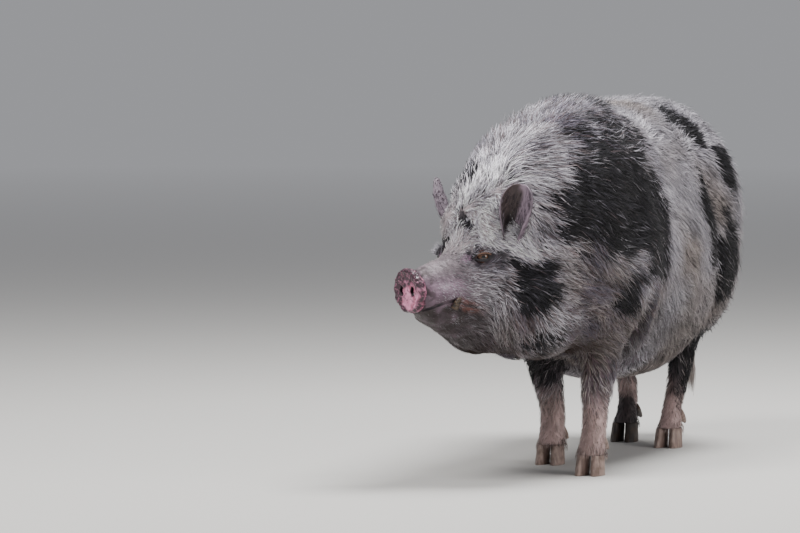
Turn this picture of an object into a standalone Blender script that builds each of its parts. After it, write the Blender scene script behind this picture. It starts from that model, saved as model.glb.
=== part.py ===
"""Life-size model of a kunekune pig, standing with its head turned to its right.

Metres, +Z up. The pig faces -Y, its left side is at +X, and it stands on the floor at Z = 0.
The head, neck and trunk are modelled looking straight ahead and symmetrical, and each form is then
moved as the neck turns. The last step centres the pig over the origin.
"""
import math
import random

import bmesh
import bpy
import numpy as np
from mathutils import Vector
from mathutils.bvhtree import BVHTree

# Clearance kept between neighbouring solids
GAP = 0.0003
SWELL = 0.00045           # how far a solid is swollen to cut its neighbours clear, corners included

# Trunk and neck, as outlines along the body: (distance behind the front feet, value)
BACK_HEIGHT = ((-0.27, 0.470), (-0.24, 0.532), (-0.19, 0.588), (-0.12, 0.628), (0.00, 0.656),
               (0.10, 0.661), (0.22, 0.650), (0.36, 0.657), (0.48, 0.661), (0.58, 0.648),
               (0.65, 0.608), (0.70, 0.535))
BELLY_HEIGHT = ((-0.27, 0.335), (-0.24, 0.276), (-0.19, 0.236), (-0.10, 0.213), (0.00, 0.203),
                (0.12, 0.172), (0.26, 0.145), (0.38, 0.143), (0.48, 0.182), (0.58, 0.260),
                (0.70, 0.350))
TRUNK_HALF_WIDTH = ((-0.27, 0.045), (-0.24, 0.088), (-0.19, 0.130), (-0.12, 0.152), (0.00, 0.166),
                    (0.12, 0.172), (0.28, 0.182), (0.42, 0.192), (0.54, 0.199), (0.62, 0.186),
                    (0.67, 0.151), (0.70, 0.106))
BACK_BREADTH = 0.90       # half-width high on the trunk, as a share of that low down
TRUNK_FRONT, TRUNK_REAR = -0.27, 0.70
RUMP_POINT = 0.730

# Head, as outlines along it: (distance behind the snout's disc, value)
SNOUT_AT = -0.378         # where the disc's face stands, with the neck straight
HEAD_TOP = ((0.00, 0.372), (0.03, 0.384), (0.06, 0.394), (0.085, 0.412), (0.11, 0.464),
            (0.14, 0.516), (0.18, 0.550), (0.26, 0.575))
HEAD_BOTTOM = ((0.00, 0.302), (0.015, 0.284), (0.05, 0.263), (0.08, 0.246), (0.11, 0.233),
               (0.16, 0.222), (0.26, 0.222))
HEAD_HALF_HIGH = ((0.00, 0.034), (0.05, 0.037), (0.08, 0.046), (0.105, 0.065), (0.14, 0.092),
                  (0.18, 0.104), (0.26, 0.116))
HEAD_HALF_LOW = ((0.00, 0.030), (0.05, 0.045), (0.08, 0.060), (0.11, 0.082), (0.15, 0.110),
                 (0.20, 0.132), (0.26, 0.130))
HEAD_LENGTH = 0.26
HEAD_FULLNESS = 0.92      # below 1 a section is squarer than an oval

# Rounded masses under the skin on the left side: centre and half-sizes
MASSES = {
    "shoulder": ((0.092, 0.045, 0.370), (0.086, 0.130, 0.180)),
    "ham": ((0.104, 0.510, 0.380), (0.090, 0.152, 0.175)),
    "jowl": ((0.080, -0.180, 0.297), (0.066, 0.085, 0.083)),
    "poll": ((0.045, -0.212, 0.482), (0.045, 0.040, 0.056)),
    "brow": ((0.049, -0.248, 0.440), (0.034, 0.028, 0.048)),
    "upper_lip": ((0.034, -0.328, 0.328), (0.019, 0.036, 0.021)),
    "lower_lip": ((0.022, -0.332, 0.287), (0.018, 0.030, 0.013)),
}

# Legs: where each foot stands (x, y) and where its joint in the trunk is
FEET = {
    "front_left": ((0.083, -0.060), (0.088, 0.015)),
    "front_right": ((-0.043, 0.110), (-0.064, 0.060)),
    "hind_left": ((0.070, 0.500), (0.100, 0.500)),
    "hind_right": ((-0.042, 0.590), (-0.085, 0.530)),
}
# Outlines up a leg: (height, value)
LEG_HALF_WIDTH = {
    "front": ((0.03, 0.028), (0.07, 0.024), (0.11, 0.0235), (0.14, 0.027), (0.18, 0.032),
              (0.22, 0.044), (0.28, 0.062), (0.36, 0.070)),
    "hind": ((0.03, 0.026), (0.07, 0.020), (0.12, 0.019), (0.17, 0.023), (0.20, 0.029),
             (0.25, 0.048), (0.32, 0.072), (0.40, 0.080)),
}
LEG_HALF_DEPTH = {
    "front": ((0.03, 0.030), (0.07, 0.026), (0.11, 0.026), (0.14, 0.031), (0.18, 0.038),
              (0.22, 0.058), (0.28, 0.084), (0.36, 0.100)),
    "hind": ((0.03, 0.029), (0.07, 0.023), (0.12, 0.025), (0.17, 0.035), (0.20, 0.043),
             (0.25, 0.072), (0.32, 0.110), (0.40, 0.135)),
}
LEG_SETBACK = {
    "front": ((0.03, 0.000), (0.06, 0.010), (0.10, 0.018), (0.15, 0.012), (0.36, 0.012)),
    "hind": ((0.03, 0.000), (0.07, 0.020), (0.12, 0.042), (0.18, 0.058), (0.25, 0.026),
             (0.40, 0.000)),
}
LEG_TOP = {"front": 0.36, "hind": 0.40}
STRIDE_STARTS, STRIDE_ENDS = 0.05, 0.34     # heights between which a leg slants from foot to joint

# Where the legs part from the trunk
LEG_CUT = {"front": 0.213, "hind": 0.232}
LEG_BOX_HALF = (0.085, 0.095)

# Hooves
CORONET = 0.036           # height of the top of the hooves
TOE_LENGTH, TOE_WIDTH = 0.054, 0.026
TOE_SPREAD = 0.0148       # a toe's middle from the leg's middle
DEWCLAW_HEIGHT = 0.056

# Where the head, neck and trunk part, with the neck straight
HEAD_CUT, NECK_CUT = -0.180, -0.085

# Snout's disc
DISC_HALF_WIDTH, DISC_HALF_HEIGHT, DISC_DEPTH = 0.039, 0.039, 0.016
DISC_HEIGHT = 0.336

# Eyes and lids
EYE_AT = (-0.271, 0.394)
EYE_RADIUS, EYE_DEPTH = 0.0135, 0.0085
LID_HALF_LENGTH, LID_RISE, LID_RADIUS = 0.0165, 0.0066, 0.0036

# Ears
EAR_ROOT = (0.082, -0.224, 0.430)
EAR_HEIGHT, EAR_HALF_WIDTH, EAR_THICKNESS = 0.093, 0.036, 0.0036
EAR_LIFT = 0.010          # how much higher the right ear is held
EAR_LEAN = {"left": (0.36, -0.10, 1.0), "right": (0.50, -0.20, 1.0)}     # outwards, back and up

# Tusks
TUSK_AT = (0.047, -0.325, 0.316)
TUSK_LENGTH, TUSK_RADIUS = 0.024, 0.0056

# Tail
TAIL_PATH = ((0.0, 0.680, 0.490), (0.006, 0.734, 0.455), (0.016, 0.755, 0.360),
             (0.028, 0.750, 0.250), (0.036, 0.744, 0.150))
TAIL_RADIUS = ((0.0, 0.021), (0.25, 0.015), (0.6, 0.010), (1.0, 0.0055))
TAIL_BRUSH_END = 0.075     # height of the lowest tips

# Coat. Its locks stand on a core sunk to half their depth below their tips.
COAT_DEPTH = 0.012        # from the skin to the tips, on the body
CREST_DEPTH = 0.034       # the same along the crest of the neck
CREST_HALF_WIDTH = 0.050
CREST_RUN = (-0.270, 0.170)
CORE_SHARE = 0.5
LOCK_SEED = 3
# Locks by place: spacing, length, width and thickness
LOCKS = {
    "torso": (0.0735, 0.110, 0.048, 0.0065),
    "neck": (0.060, 0.082, 0.038, 0.0065),
    "head": (0.049, 0.058, 0.029, 0.0045),
    "leg": (0.050, 0.050, 0.025, 0.0050),
}
CREST_LOCK = (0.029, 0.060, 0.027, 0.0080)
SHORTEST_LOCK = 0.42      # share of its length to which a lock may be cut back at a boundary
TAIL_LOCK = (5, 0.085, 0.018, 0.0050)     # how many, then length, width and thickness
BARE_FACE = 0.135         # how far behind the disc the locks of the cheeks begin

# The turn of the neck
TURN_STARTS, TURN_RADIUS, TURN_ANGLE = -0.02, 0.30, math.radians(35)

# Fineness of the meshes
VOXEL = 0.006
BODY_TRIANGLES = 3300
RING_POINTS = 40

# Colours of the parts (linear) and their roughness
COLOURS = {
    "coat": ((0.34, 0.30, 0.29), 0.85),
    "bare_skin": ((0.42, 0.25, 0.26), 0.60),
    "snout": ((0.50, 0.24, 0.27), 0.45),
    "hoof": ((0.10, 0.07, 0.05), 0.55),
    "eye": ((0.06, 0.03, 0.015), 0.08),
    "tusk": ((0.55, 0.45, 0.28), 0.40),
}


def clear_scene():
    for thing in list(bpy.data.objects):
        bpy.data.objects.remove(thing, do_unlink=True)


def through(knots, at):
    """Values of a smooth curve through (place, value) knots that doesn't overshoot them."""
    place, value = np.array(knots, float).T
    at = np.clip(np.asarray(at, float), place[0], place[-1])
    step = np.diff(place)
    slope = np.diff(value) / step
    product = slope[:-1] * slope[1:]
    mean = np.where(product > 0, 2 * product / np.where(product > 0, slope[:-1] + slope[1:], 1), 0)
    tangent = np.concatenate([slope[:1], mean, slope[-1:]])
    k = np.clip(np.searchsorted(place, at) - 1, 0, len(place) - 2)
    t = (at - place[k]) / step[k]
    return (value[k] * (1 + 2 * t) * (1 - t) ** 2 + value[k + 1] * t * t * (3 - 2 * t)
            + step[k] * t * (1 - t) * (tangent[k] * (1 - t) - tangent[k + 1] * t))


def smooth_step(t):
    t = np.clip(t, 0.0, 1.0)
    return t * t * (3 - 2 * t)


def turned(points):
    """Points of the straight pig, moved as the neck turns to the pig's right."""
    points = np.asarray(points, float)
    reach = np.maximum(TURN_STARTS - points[:, 1], 0)
    angle = np.minimum(reach / TURN_RADIUS, TURN_ANGLE)
    beyond = np.maximum(reach - TURN_RADIUS * TURN_ANGLE, 0)
    x = points[:, 0] * np.cos(angle) - TURN_RADIUS * (1 - np.cos(angle)) - beyond * np.sin(angle)
    y = np.maximum(points[:, 1], TURN_STARTS) - points[:, 0] * np.sin(angle)
    y -= TURN_RADIUS * np.sin(angle) + beyond * np.cos(angle)
    return np.stack([x, y, points[:, 2]], axis=1)


def straightened(points):
    """The reverse of turned."""
    points = np.asarray(points, float)
    x, y = points[:, 0] + TURN_RADIUS, TURN_STARTS - points[:, 1]
    angle = np.clip(np.arctan2(y, x), 0, TURN_ANGLE)
    across = x * np.cos(angle) + y * np.sin(angle) - TURN_RADIUS
    ahead = y * np.cos(angle) - x * np.sin(angle)
    back = TURN_STARTS - TURN_RADIUS * angle - ahead
    return np.stack([across, back, points[:, 2]], axis=1)


def turn_object(thing):
    points = turned([v.co for v in thing.data.vertices])
    thing.data.vertices.foreach_set("co", points.astype(np.float32).ravel())
    thing.data.update()
    return thing


def crossing_plane(y, way):
    """A plane across the turned neck: a point of it, and its normal to the rear (1) or front (-1)."""
    here, behind = turned([(0, y, 0), (0, y + 1e-4, 0)])
    return tuple(here), tuple(way * (behind - here) / np.linalg.norm(behind - here))


# Making meshes


def mesh_object(name, points, faces):
    mesh = bpy.data.meshes.new(name)
    mesh.from_pydata([tuple(p) for p in points], [], faces)
    return linked(name, mesh)


def linked(name, mesh):
    made = bpy.data.objects.new(name, mesh)
    bpy.context.scene.collection.objects.link(made)
    return made


def loft(name, rings):
    """A closed mesh through rings of points, each end closed by a fan to its ring's middle."""
    rings = [np.asarray(ring, float) for ring in rings]
    sides = len(rings[0])
    points = np.concatenate(rings + [rings[0].mean(0)[None], rings[-1].mean(0)[None]])
    first, last = len(points) - 2, len(points) - 1
    faces = []
    for r in range(len(rings) - 1):
        for s in range(sides):
            a, b = r * sides + s, r * sides + (s + 1) % sides
            faces.append((a, b, b + sides, a + sides))
    end = (len(rings) - 1) * sides
    for s in range(sides):
        faces.append((first, (s + 1) % sides, s))
        faces.append((last, end + s, end + (s + 1) % sides))
    made = mesh_object(name, points, faces)
    face_outwards(made.data)
    return made


def face_outwards(mesh):
    work = bmesh.new()
    work.from_mesh(mesh)
    bmesh.ops.recalc_face_normals(work, faces=work.faces)
    work.to_mesh(mesh)
    work.free()


def cross_section(y, top, bottom, half_high, half_low, fullness=0.84, sides=RING_POINTS):
    """A ring standing across the body at y, pear-shaped where its two half-widths differ."""
    turn = np.arange(sides) * 2 * math.pi / sides
    across, up = np.cos(turn), np.sin(turn)
    middle = bottom + 0.46 * (top - bottom)
    half = half_low + (half_high - half_low) * (0.5 + 0.5 * up)
    x = half * np.sign(across) * np.abs(across) ** fullness
    z = middle + np.where(up > 0, top - middle, middle - bottom) * np.sign(up) * np.abs(up) ** 0.92
    return np.stack([x, np.full(sides, y), z], axis=1)


def level_ring(x, y, z, half_x, half_y, sides=20):
    turn = np.arange(sides) * 2 * math.pi / sides
    return np.stack([x + half_x * np.cos(turn), y + half_y * np.sin(turn), np.full(sides, z)], axis=1)


def ellipsoid(name, centre, halves, segments=24):
    work = bmesh.new()
    bmesh.ops.create_uvsphere(work, u_segments=segments, v_segments=segments // 2, radius=1.0)
    bmesh.ops.scale(work, vec=halves, verts=work.verts)
    bmesh.ops.translate(work, vec=centre, verts=work.verts)
    mesh = bpy.data.meshes.new(name)
    work.to_mesh(mesh)
    work.free()
    return linked(name, mesh)


def tube_along(name, path, radii, sides=12):
    """A closed round tube along a list of points, with its own radius at each."""
    path = np.asarray(path, float)
    ahead = np.gradient(path, axis=0)
    rings = []
    side = Vector((1, 0, 0)) if abs(ahead[0][0]) < 0.9 * np.linalg.norm(ahead[0]) else Vector((0, 1, 0))
    for point, along, radius in zip(path, ahead, radii):
        along = Vector(along).normalized()
        side = (side - along * side.dot(along)).normalized()
        other = along.cross(side)
        turn = np.arange(sides) * 2 * math.pi / sides
        rings.append(point + radius * (np.outer(np.cos(turn), side) + np.outer(np.sin(turn), other)))
    return loft(name, rings)


# Modifiers and Booleans


def apply_modifiers(thing):
    """Replaces an object's mesh by what its modifiers make of it."""
    graph = bpy.context.evaluated_depsgraph_get()
    made = bpy.data.meshes.new_from_object(thing.evaluated_get(graph))
    thing.modifiers.clear()
    old, thing.data = thing.data, made
    bpy.data.meshes.remove(old)
    return thing


def keep_largest(thing):
    """Leaves only the largest closed surface of a mesh."""
    work = bmesh.new()
    work.from_mesh(thing.data)
    left, shells = set(work.verts), []
    while left:
        shell, edge = set(), [left.pop()]
        while edge:
            vert = edge.pop()
            shell.add(vert)
            for link in vert.link_edges:
                other = link.other_vert(vert)
                if other in left:
                    left.remove(other)
                    edge.append(other)
        shells.append(shell)
    shells.sort(key=len)
    bmesh.ops.delete(work, geom=[v for shell in shells[:-1] for v in shell], context="VERTS")
    work.to_mesh(thing.data)
    work.free()
    return len(shells) - 1


def boolean(thing, others, operation):
    """Joins or cuts with a collection of closed meshes, applies it and removes them."""
    group = bpy.data.collections.new("operands")
    bpy.context.scene.collection.children.link(group)
    for other in others:
        for owner in other.users_collection:
            owner.objects.unlink(other)
        group.objects.link(other)
    change = thing.modifiers.new("boolean", "BOOLEAN")
    change.operation = operation
    change.operand_type = "COLLECTION"
    change.collection = group
    change.solver = "MANIFOLD"
    bpy.context.view_layer.update()
    apply_modifiers(thing)
    for other in others:
        bpy.data.objects.remove(other)
    bpy.data.collections.remove(group)
    keep_largest(thing)
    return thing


def copy_of(thing, swell=0.0):
    """A copy of a mesh object, swollen along its normals to leave a gap round it."""
    made = linked(thing.name + "_copy", thing.data.copy())
    if swell > 0:
        mesh = made.data
        for vert, normal in zip(mesh.vertices, [v.normal.copy() for v in mesh.vertices]):
            vert.co += normal * swell
    return made


def keep_side(thing, point, outward):
    """Cuts a mesh by a plane, drops what lies beyond it and closes the cut."""
    work = bmesh.new()
    work.from_mesh(thing.data)
    cut = bmesh.ops.bisect_plane(work, geom=work.verts[:] + work.edges[:] + work.faces[:], dist=1e-6,
                                 plane_co=point, plane_no=outward, clear_outer=True)
    rim = [item for item in cut["geom_cut"] if isinstance(item, bmesh.types.BMEdge)]
    bmesh.ops.triangle_fill(work, edges=rim, use_beauty=True)
    bmesh.ops.recalc_face_normals(work, faces=work.faces)
    work.to_mesh(thing.data)
    work.free()
    keep_largest(thing)
    return thing


def box(name, low, high):
    work = bmesh.new()
    bmesh.ops.create_cube(work, size=1.0)
    size = np.subtract(high, low)
    bmesh.ops.scale(work, vec=size, verts=work.verts)
    bmesh.ops.translate(work, vec=np.add(low, high) / 2, verts=work.verts)
    mesh = bpy.data.meshes.new(name)
    work.to_mesh(mesh)
    work.free()
    return linked(name, mesh)


# The whole body


def trunk_and_neck():
    places = np.linspace(TRUNK_FRONT, TRUNK_REAR, 44)
    rings = []
    for y in places:
        low = float(through(TRUNK_HALF_WIDTH, y))
        rings.append(cross_section(y, float(through(BACK_HEIGHT, y)), float(through(BELLY_HEIGHT, y)),
                                   low * BACK_BREADTH, low))
    last = rings[-1]
    point = last.mean(0) + np.array([0, RUMP_POINT - TRUNK_REAR, 0])
    rings.append(point + (last - last.mean(0)) * 0.55)
    return loft("trunk", rings)


def head_form():
    rings = []
    for h in np.linspace(0.0, HEAD_LENGTH, 30):
        rings.append(cross_section(SNOUT_AT + h, float(through(HEAD_TOP, h)), float(through(HEAD_BOTTOM, h)),
                                   float(through(HEAD_HALF_HIGH, h)), float(through(HEAD_HALF_LOW, h)),
                                   HEAD_FULLNESS))
    return loft("head_form", rings)


def leg_middle(leg, z):
    """Where the middle of a leg is at a height."""
    end = leg.split("_")[0]
    foot, joint = (np.array(p) for p in FEET[leg])
    share = float(smooth_step((z - STRIDE_STARTS) / (STRIDE_ENDS - STRIDE_STARTS)))
    x, y = foot + (joint - foot) * share
    return x, y + float(through(LEG_SETBACK[end], z)) * (1 - 0.4 * share)


def leg_form(leg):
    end = leg.split("_")[0]
    rings = []
    for z in np.linspace(0.03, LEG_TOP[end], 26):
        x, y = leg_middle(leg, z)
        rings.append(level_ring(x, y, z, float(through(LEG_HALF_WIDTH[end], z)),
                                float(through(LEG_HALF_DEPTH[end], z))))
    return loft(leg, rings)


def coat_depth(straight):
    """Depth of the coat at points of the straight pig: deep on the body, thin on face and feet."""
    x, y, z = straight.T
    face = smooth_step((y - SNOUT_AT - 0.06) / 0.12)
    leg = smooth_step((z - 0.10) / 0.14)
    depth = COAT_DEPTH * (0.22 + 0.78 * face) * (0.20 + 0.80 * leg)
    start, end = CREST_RUN
    run = smooth_step((y - start) / 0.05) * smooth_step((end - y) / 0.09)
    top = through(BACK_HEIGHT, y)
    crest = run * smooth_step(1.3 - np.abs(x) / CREST_HALF_WIDTH) * (z > top - 0.10)
    return depth + (CREST_DEPTH - COAT_DEPTH) * crest


def sink_to_core(body):
    """Moves the body's surface in by the core's share of the coat's depth."""
    mesh = body.data
    depth = CORE_SHARE * coat_depth(straightened([v.co for v in mesh.vertices]))
    for vert, normal, sunk in zip(mesh.vertices, [v.normal.copy() for v in mesh.vertices], depth):
        vert.co -= normal * float(sunk)
    mesh.update()
    return body


def leg_space(leg):
    """Opposite corners of the box in which the body is leg."""
    top = LEG_CUT[leg.split("_")[0]]
    x, y = leg_middle(leg, top)
    low, high = x - LEG_BOX_HALF[0], x + LEG_BOX_HALF[0]
    if x > 0:
        low = max(low, GAP)
    else:
        high = min(high, -GAP)
    return (low, y - LEG_BOX_HALF[1], -0.1), (high, y + LEG_BOX_HALF[1], top)


def joined(things):
    """One object that holds the meshes of several, which may cross."""
    work = bmesh.new()
    for thing in things:
        work.from_mesh(thing.data)
        bpy.data.objects.remove(thing)
    mesh = bpy.data.meshes.new("joined")
    work.to_mesh(mesh)
    work.free()
    return linked("joined", mesh)


def whole_body():
    forms = [trunk_and_neck(), head_form()]
    for name, (centre, halves) in MASSES.items():
        for side in (1, -1):
            forms.append(ellipsoid(name, (side * centre[0], centre[1], centre[2]), halves))
    for form in forms:
        turn_object(form)
    forms += [leg_form(leg) for leg in FEET]
    body = joined(forms)
    skin = body.modifiers.new("skin", "REMESH")
    skin.mode = "VOXEL"
    skin.voxel_size = VOXEL
    ease = body.modifiers.new("ease", "SMOOTH")
    ease.factor = 0.5
    ease.iterations = 16
    return apply_modifiers(body)


def thin_out(body, triangles):
    fewer = body.modifiers.new("fewer", "DECIMATE")
    fewer.ratio = triangles / (2.0 * len(body.data.polygons))
    fewer.use_collapse_triangulate = True
    return apply_modifiers(body)


def part_body(body):
    """Parts the body by thin flat cuts into head, neck, torso and legs."""
    nodes = {}
    for leg in FEET:
        low, high = leg_space(leg)
        piece = copy_of(body)
        boolean(piece, [box("leg_space", low, high)], "INTERSECT")
        keep_side(piece, (0, 0, CORONET), (0, 0, -1))
        nodes["leg_" + leg] = piece
        wider = [box("leg_space", np.subtract(low, (GAP, GAP, 0)), np.add(high, GAP))]
        boolean(body, wider, "DIFFERENCE")
    head = keep_side(copy_of(body), *crossing_plane(HEAD_CUT - GAP / 2, 1))
    neck = keep_side(copy_of(body), *crossing_plane(HEAD_CUT + GAP / 2, -1))
    nodes["neck"] = keep_side(neck, *crossing_plane(NECK_CUT - GAP / 2, 1))
    nodes["torso"] = keep_side(body, *crossing_plane(NECK_CUT + GAP / 2, -1))
    nodes["head"] = head
    for name, thing in nodes.items():
        thing.name = name
    return nodes


# Locks of the coat


def lie_of_coat(straight):
    """The way the hair lies at a point of the straight pig: rearwards, and down the sides."""
    x, y, z = straight
    if z < 0.20:
        return np.array([0.0, 0.25, -1.0])
    side = smooth_step((0.60 - z) / 0.10) * smooth_step((z - 0.17) / 0.10)
    down = 0.15 + 0.85 * float(side)
    if y < NECK_CUT:
        down *= 0.75
    return np.array([0.12 * np.sign(x) * float(1 - side), 1.0, -down])


def home(straight, point):
    """The node that a point belongs to."""
    for leg in FEET:
        low, high = leg_space(leg)
        if all(low[k] < point[k] < high[k] for k in range(3)):
            return "leg_" + leg
    if straight[1] < HEAD_CUT:
        return "head"
    return "neck" if straight[1] < NECK_CUT else "torso"


def stays_home(points, node, clear=0.0015):
    steps = clear * np.array([(1, 0, 0), (-1, 0, 0), (0, 1, 0), (0, -1, 0), (0, 0, 1), (0, 0, -1)])
    near = (np.asarray(points)[:, None] + steps[None]).reshape(-1, 3)
    return all(home(flat, point) == node for flat, point in zip(straightened(near), near))


def blade(name, path, widths, thicknesses, normals):
    """A flat, tapered lock through the points of a path, ridged above and pointed at its end."""
    path = [Vector(p) for p in path]
    rings = []
    for k, (point, normal) in enumerate(zip(path[:-1], normals)):
        ahead = (path[k + 1] - path[max(k - 1, 0)]).normalized()
        across = ahead.cross(normal).normalized()
        over = across.cross(ahead)
        half, thick = widths[k] / 2, thicknesses[k] / 2
        rings.append([point + across * half, point + over * thick, point - across * half - over * 0.0005])
    points = [p for ring in rings for p in ring] + [path[-1]]
    tip, last = len(points) - 1, 3 * (len(rings) - 1)
    faces = [(2, 1, 0)]
    for r in range(len(rings) - 1):
        for c in range(3):
            a, b = 3 * r + c, 3 * r + (c + 1) % 3
            faces.append((a, b, b + 3, a + 3))
    faces += [(last + c, last + (c + 1) % 3, tip) for c in range(3)]
    made = mesh_object(name, points, faces)
    face_outwards(made.data)
    return made


def lock_on(surface, root, normal, way, size, rise, wave):
    """A lock that leaves the skin at its root and bends to lie along it, its tip lifted by rise."""
    length, width, thick = size
    path, normals = [], []
    for share, height in ((0.0, -0.006), (0.30, 0.3 * rise), (0.66, 0.75 * rise), (1.0, rise)):
        step = way * (share * length) + normal.cross(way) * (wave * length * share * share)
        spot, up, _, _ = surface.find_nearest(root + step)
        path.append(spot + up * height)
        normals.append(up)
    widths = (0.70 * width, width, 0.72 * width)
    return path, widths, (thick * 1.6, thick * 1.4, thick), normals


def crest_lock_on(root, normal, way, size, rise, wave):
    """A bristle lock of the crest, which stands up from the neck and leans back."""
    length, width, thick = size
    across = normal.cross(way).normalized()
    path = []
    for share, height in ((0.0, -0.008), (0.35, 0.42 * rise), (0.70, 0.78 * rise), (1.0, rise)):
        path.append(root + way * (0.62 * length * share * share) + normal * height
                    + across * (wave * length * share))
    return path, (width, 0.9 * width, 0.55 * width), (thick * 1.6, thick * 1.3, 0.8 * thick), [normal] * 3


def roots_on(body, draw):
    """Points spread evenly over the skin, with the skin's normal and the node they are on."""
    mesh = body.data
    mesh.calc_loop_triangles()
    corners = np.array([[mesh.vertices[k].co for k in t.vertices] for t in mesh.loop_triangles])
    normals = np.array([t.normal for t in mesh.loop_triangles])
    area = np.array([t.area for t in mesh.loop_triangles])
    picks = draw.choice(len(area), size=14000, p=area / area.sum())
    u, v = draw.random((2, len(picks)))
    u, v = np.where(u + v > 1, 1 - u, u), np.where(u + v > 1, 1 - v, v)
    a, b, c = corners[picks].transpose(1, 0, 2)
    spots = a + (b - a) * u[:, None] + (c - a) * v[:, None]
    flats = straightened(spots)
    kept, kept_spots = [], np.zeros((0, 3))
    for spot, flat, normal in zip(spots, flats, normals[picks]):
        node = home(flat, spot)
        spacing = LOCKS["leg" if node.startswith("leg") else node][0]
        crest = coat_depth(flat[None])[0] > 0.6 * CREST_DEPTH
        if crest:
            spacing = CREST_LOCK[0]
        if flat[1] < SNOUT_AT + BARE_FACE or (flat[2] < 0.12 and node.startswith("leg")):
            continue
        if len(kept_spots) and np.min(np.sum((kept_spots - spot) ** 2, axis=1)) < spacing ** 2:
            continue
        kept.append((spot, flat, normal, node, crest))
        kept_spots = np.vstack([kept_spots, spot])
    return kept


def coat_locks(body, obstacles):
    """The locks of each node, cut back or left out where they would leave it."""
    draw = np.random.default_rng(LOCK_SEED)
    surface = surface_of(body)
    locks = {}
    for spot, flat, normal, node, crest in roots_on(body, draw):
        lie = lie_of_coat(flat)
        here, ahead = turned([flat, flat + 1e-3 * lie])
        normal = Vector(normal)
        way = Vector(ahead - here)
        way = (way - normal * way.dot(normal)).normalized()
        kind = LOCKS["leg" if node.startswith("leg") else node]
        if crest:
            kind = CREST_LOCK
        depth = float(coat_depth(flat[None])[0])
        rise = max(depth * (1 - CORE_SHARE), 0.0035) * draw.uniform(0.85, 1.1)
        wave = draw.uniform(-0.16, 0.16)
        grown = draw.uniform(0.88, 1.12)
        share = 1.0
        while share > SHORTEST_LOCK:
            size = (kind[1] * grown * share, kind[2] * (0.6 + 0.4 * share), kind[3])
            if crest:
                made = crest_lock_on(Vector(spot), normal, way, size, rise * (0.5 + 0.5 * share), wave)
            else:
                made = lock_on(surface, Vector(spot), normal, way, size, rise, wave)
            thing = blade("lock", *made)
            points = [v.co.copy() for v in thing.data.vertices]
            if stays_home(points, node) and clear_of(points, obstacles):
                locks.setdefault(node, []).append(thing)
                break
            bpy.data.objects.remove(thing)
            share *= 0.84
    return locks


def clear_of(points, obstacles, clear=0.004):
    for surface in obstacles:
        for point in points:
            spot, normal, _, distance = surface.find_nearest(point)
            if distance < clear or (point - spot).dot(normal) < 0 and distance < 0.03:
                return False
    return True


# Head details


def eye_frame(side, surface):
    """The eye's middle, and the directions along the lids, up and out of the head."""
    start, towards = turned([(side * 0.3, EYE_AT[0], EYE_AT[1]), (0, EYE_AT[0], EYE_AT[1])])
    spot = surface.ray_cast(Vector(start), Vector(towards - start).normalized())[0]
    spot = Vector(straightened([spot])[0])
    out = Vector((side * 0.90, -0.40, 0.14)).normalized()
    along = Vector((0, 1, 0.10))
    along = (along - out * along.dot(out)).normalized()
    up = along.cross(out)
    if up.z < 0:
        up = -up
    return spot - out * EYE_DEPTH, along, up, out


def lids(frame):
    """Upper and lower lid, each a tapered roll bent over the eyeball."""
    middle, along, up, out = frame
    rolls = []
    for rise, radius in ((LID_RISE, LID_RADIUS * 1.25), (-LID_RISE, LID_RADIUS)):
        path, radii = [], []
        for t in np.linspace(-1, 1, 9):
            x = LID_HALF_LENGTH * t
            z = rise * math.cos(t * math.pi / 2)
            depth = math.sqrt(max((EYE_RADIUS + 0.001) ** 2 - 0.55 * x * x - z * z, 0))
            path.append(middle + along * x + up * z + out * depth)
            radii.append(radius * (0.35 + 0.65 * math.cos(t * math.pi / 2)))
        rolls.append(turn_object(tube_along("lid", path, radii, sides=8)))
    return rolls


def eyeball(frame):
    return turn_object(ellipsoid("eye", frame[0], (EYE_RADIUS,) * 3, segments=16))


def mouth_groove(side):
    """The slit between the lips, from under the disc back to the corner of the mouth."""
    path = []
    for t in np.linspace(0, 1, 9):
        h = 0.002 + 0.092 * t
        x = 0.016 + 0.075 * t ** 0.8
        z = 0.3005 + 0.013 * math.sin(t * math.pi) - 0.002 * t
        path.append((side * x, SNOUT_AT + h, z))
    return path


def surface_of(thing):
    return BVHTree.FromPolygons([v.co for v in thing.data.vertices],
                                [p.vertices[:] for p in thing.data.polygons])


def cut_mouth(head, surface):
    cutters = []
    for side in (1, -1):
        path = [surface.find_nearest(Vector(point))[0] for point in turned(mouth_groove(side))]
        radii = [0.0036] * 7 + [0.0030, 0.0018]
        cutters.append(tube_along("slit", path, radii, sides=8))
    boolean(head, cutters, "DIFFERENCE")


def snout_disc():
    """The snout's flat disc, tilted a little downwards, with its two nostrils sunk in it."""
    shares = ((0.62, 0.45), (0.82, 0.08), (0.96, -0.14), (1.0, -0.45), (0.97, -0.80), (0.86, -1.0),
              (0.45, -0.93))
    rings = []
    for share, depth in shares:
        turn = np.arange(18) * 2 * math.pi / 18
        x = DISC_HALF_WIDTH * share * np.sign(np.cos(turn)) * np.abs(np.cos(turn)) ** 0.92
        z = DISC_HALF_HEIGHT * share * np.sin(turn)
        y = np.full(18, depth * DISC_DEPTH) - 0.10 * z
        rings.append(np.stack([x, SNOUT_AT + y, DISC_HEIGHT + z], axis=1))
    disc = loft("snout", rings)
    nostrils = []
    for side in (1, -1):
        centre = (side * 0.0155, SNOUT_AT - DISC_DEPTH, DISC_HEIGHT + 0.001)
        nostrils.append(ellipsoid("nostril", centre, (0.0072, 0.011, 0.0088), segments=10))
    return turn_object(boolean(disc, nostrils, "DIFFERENCE"))


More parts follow.
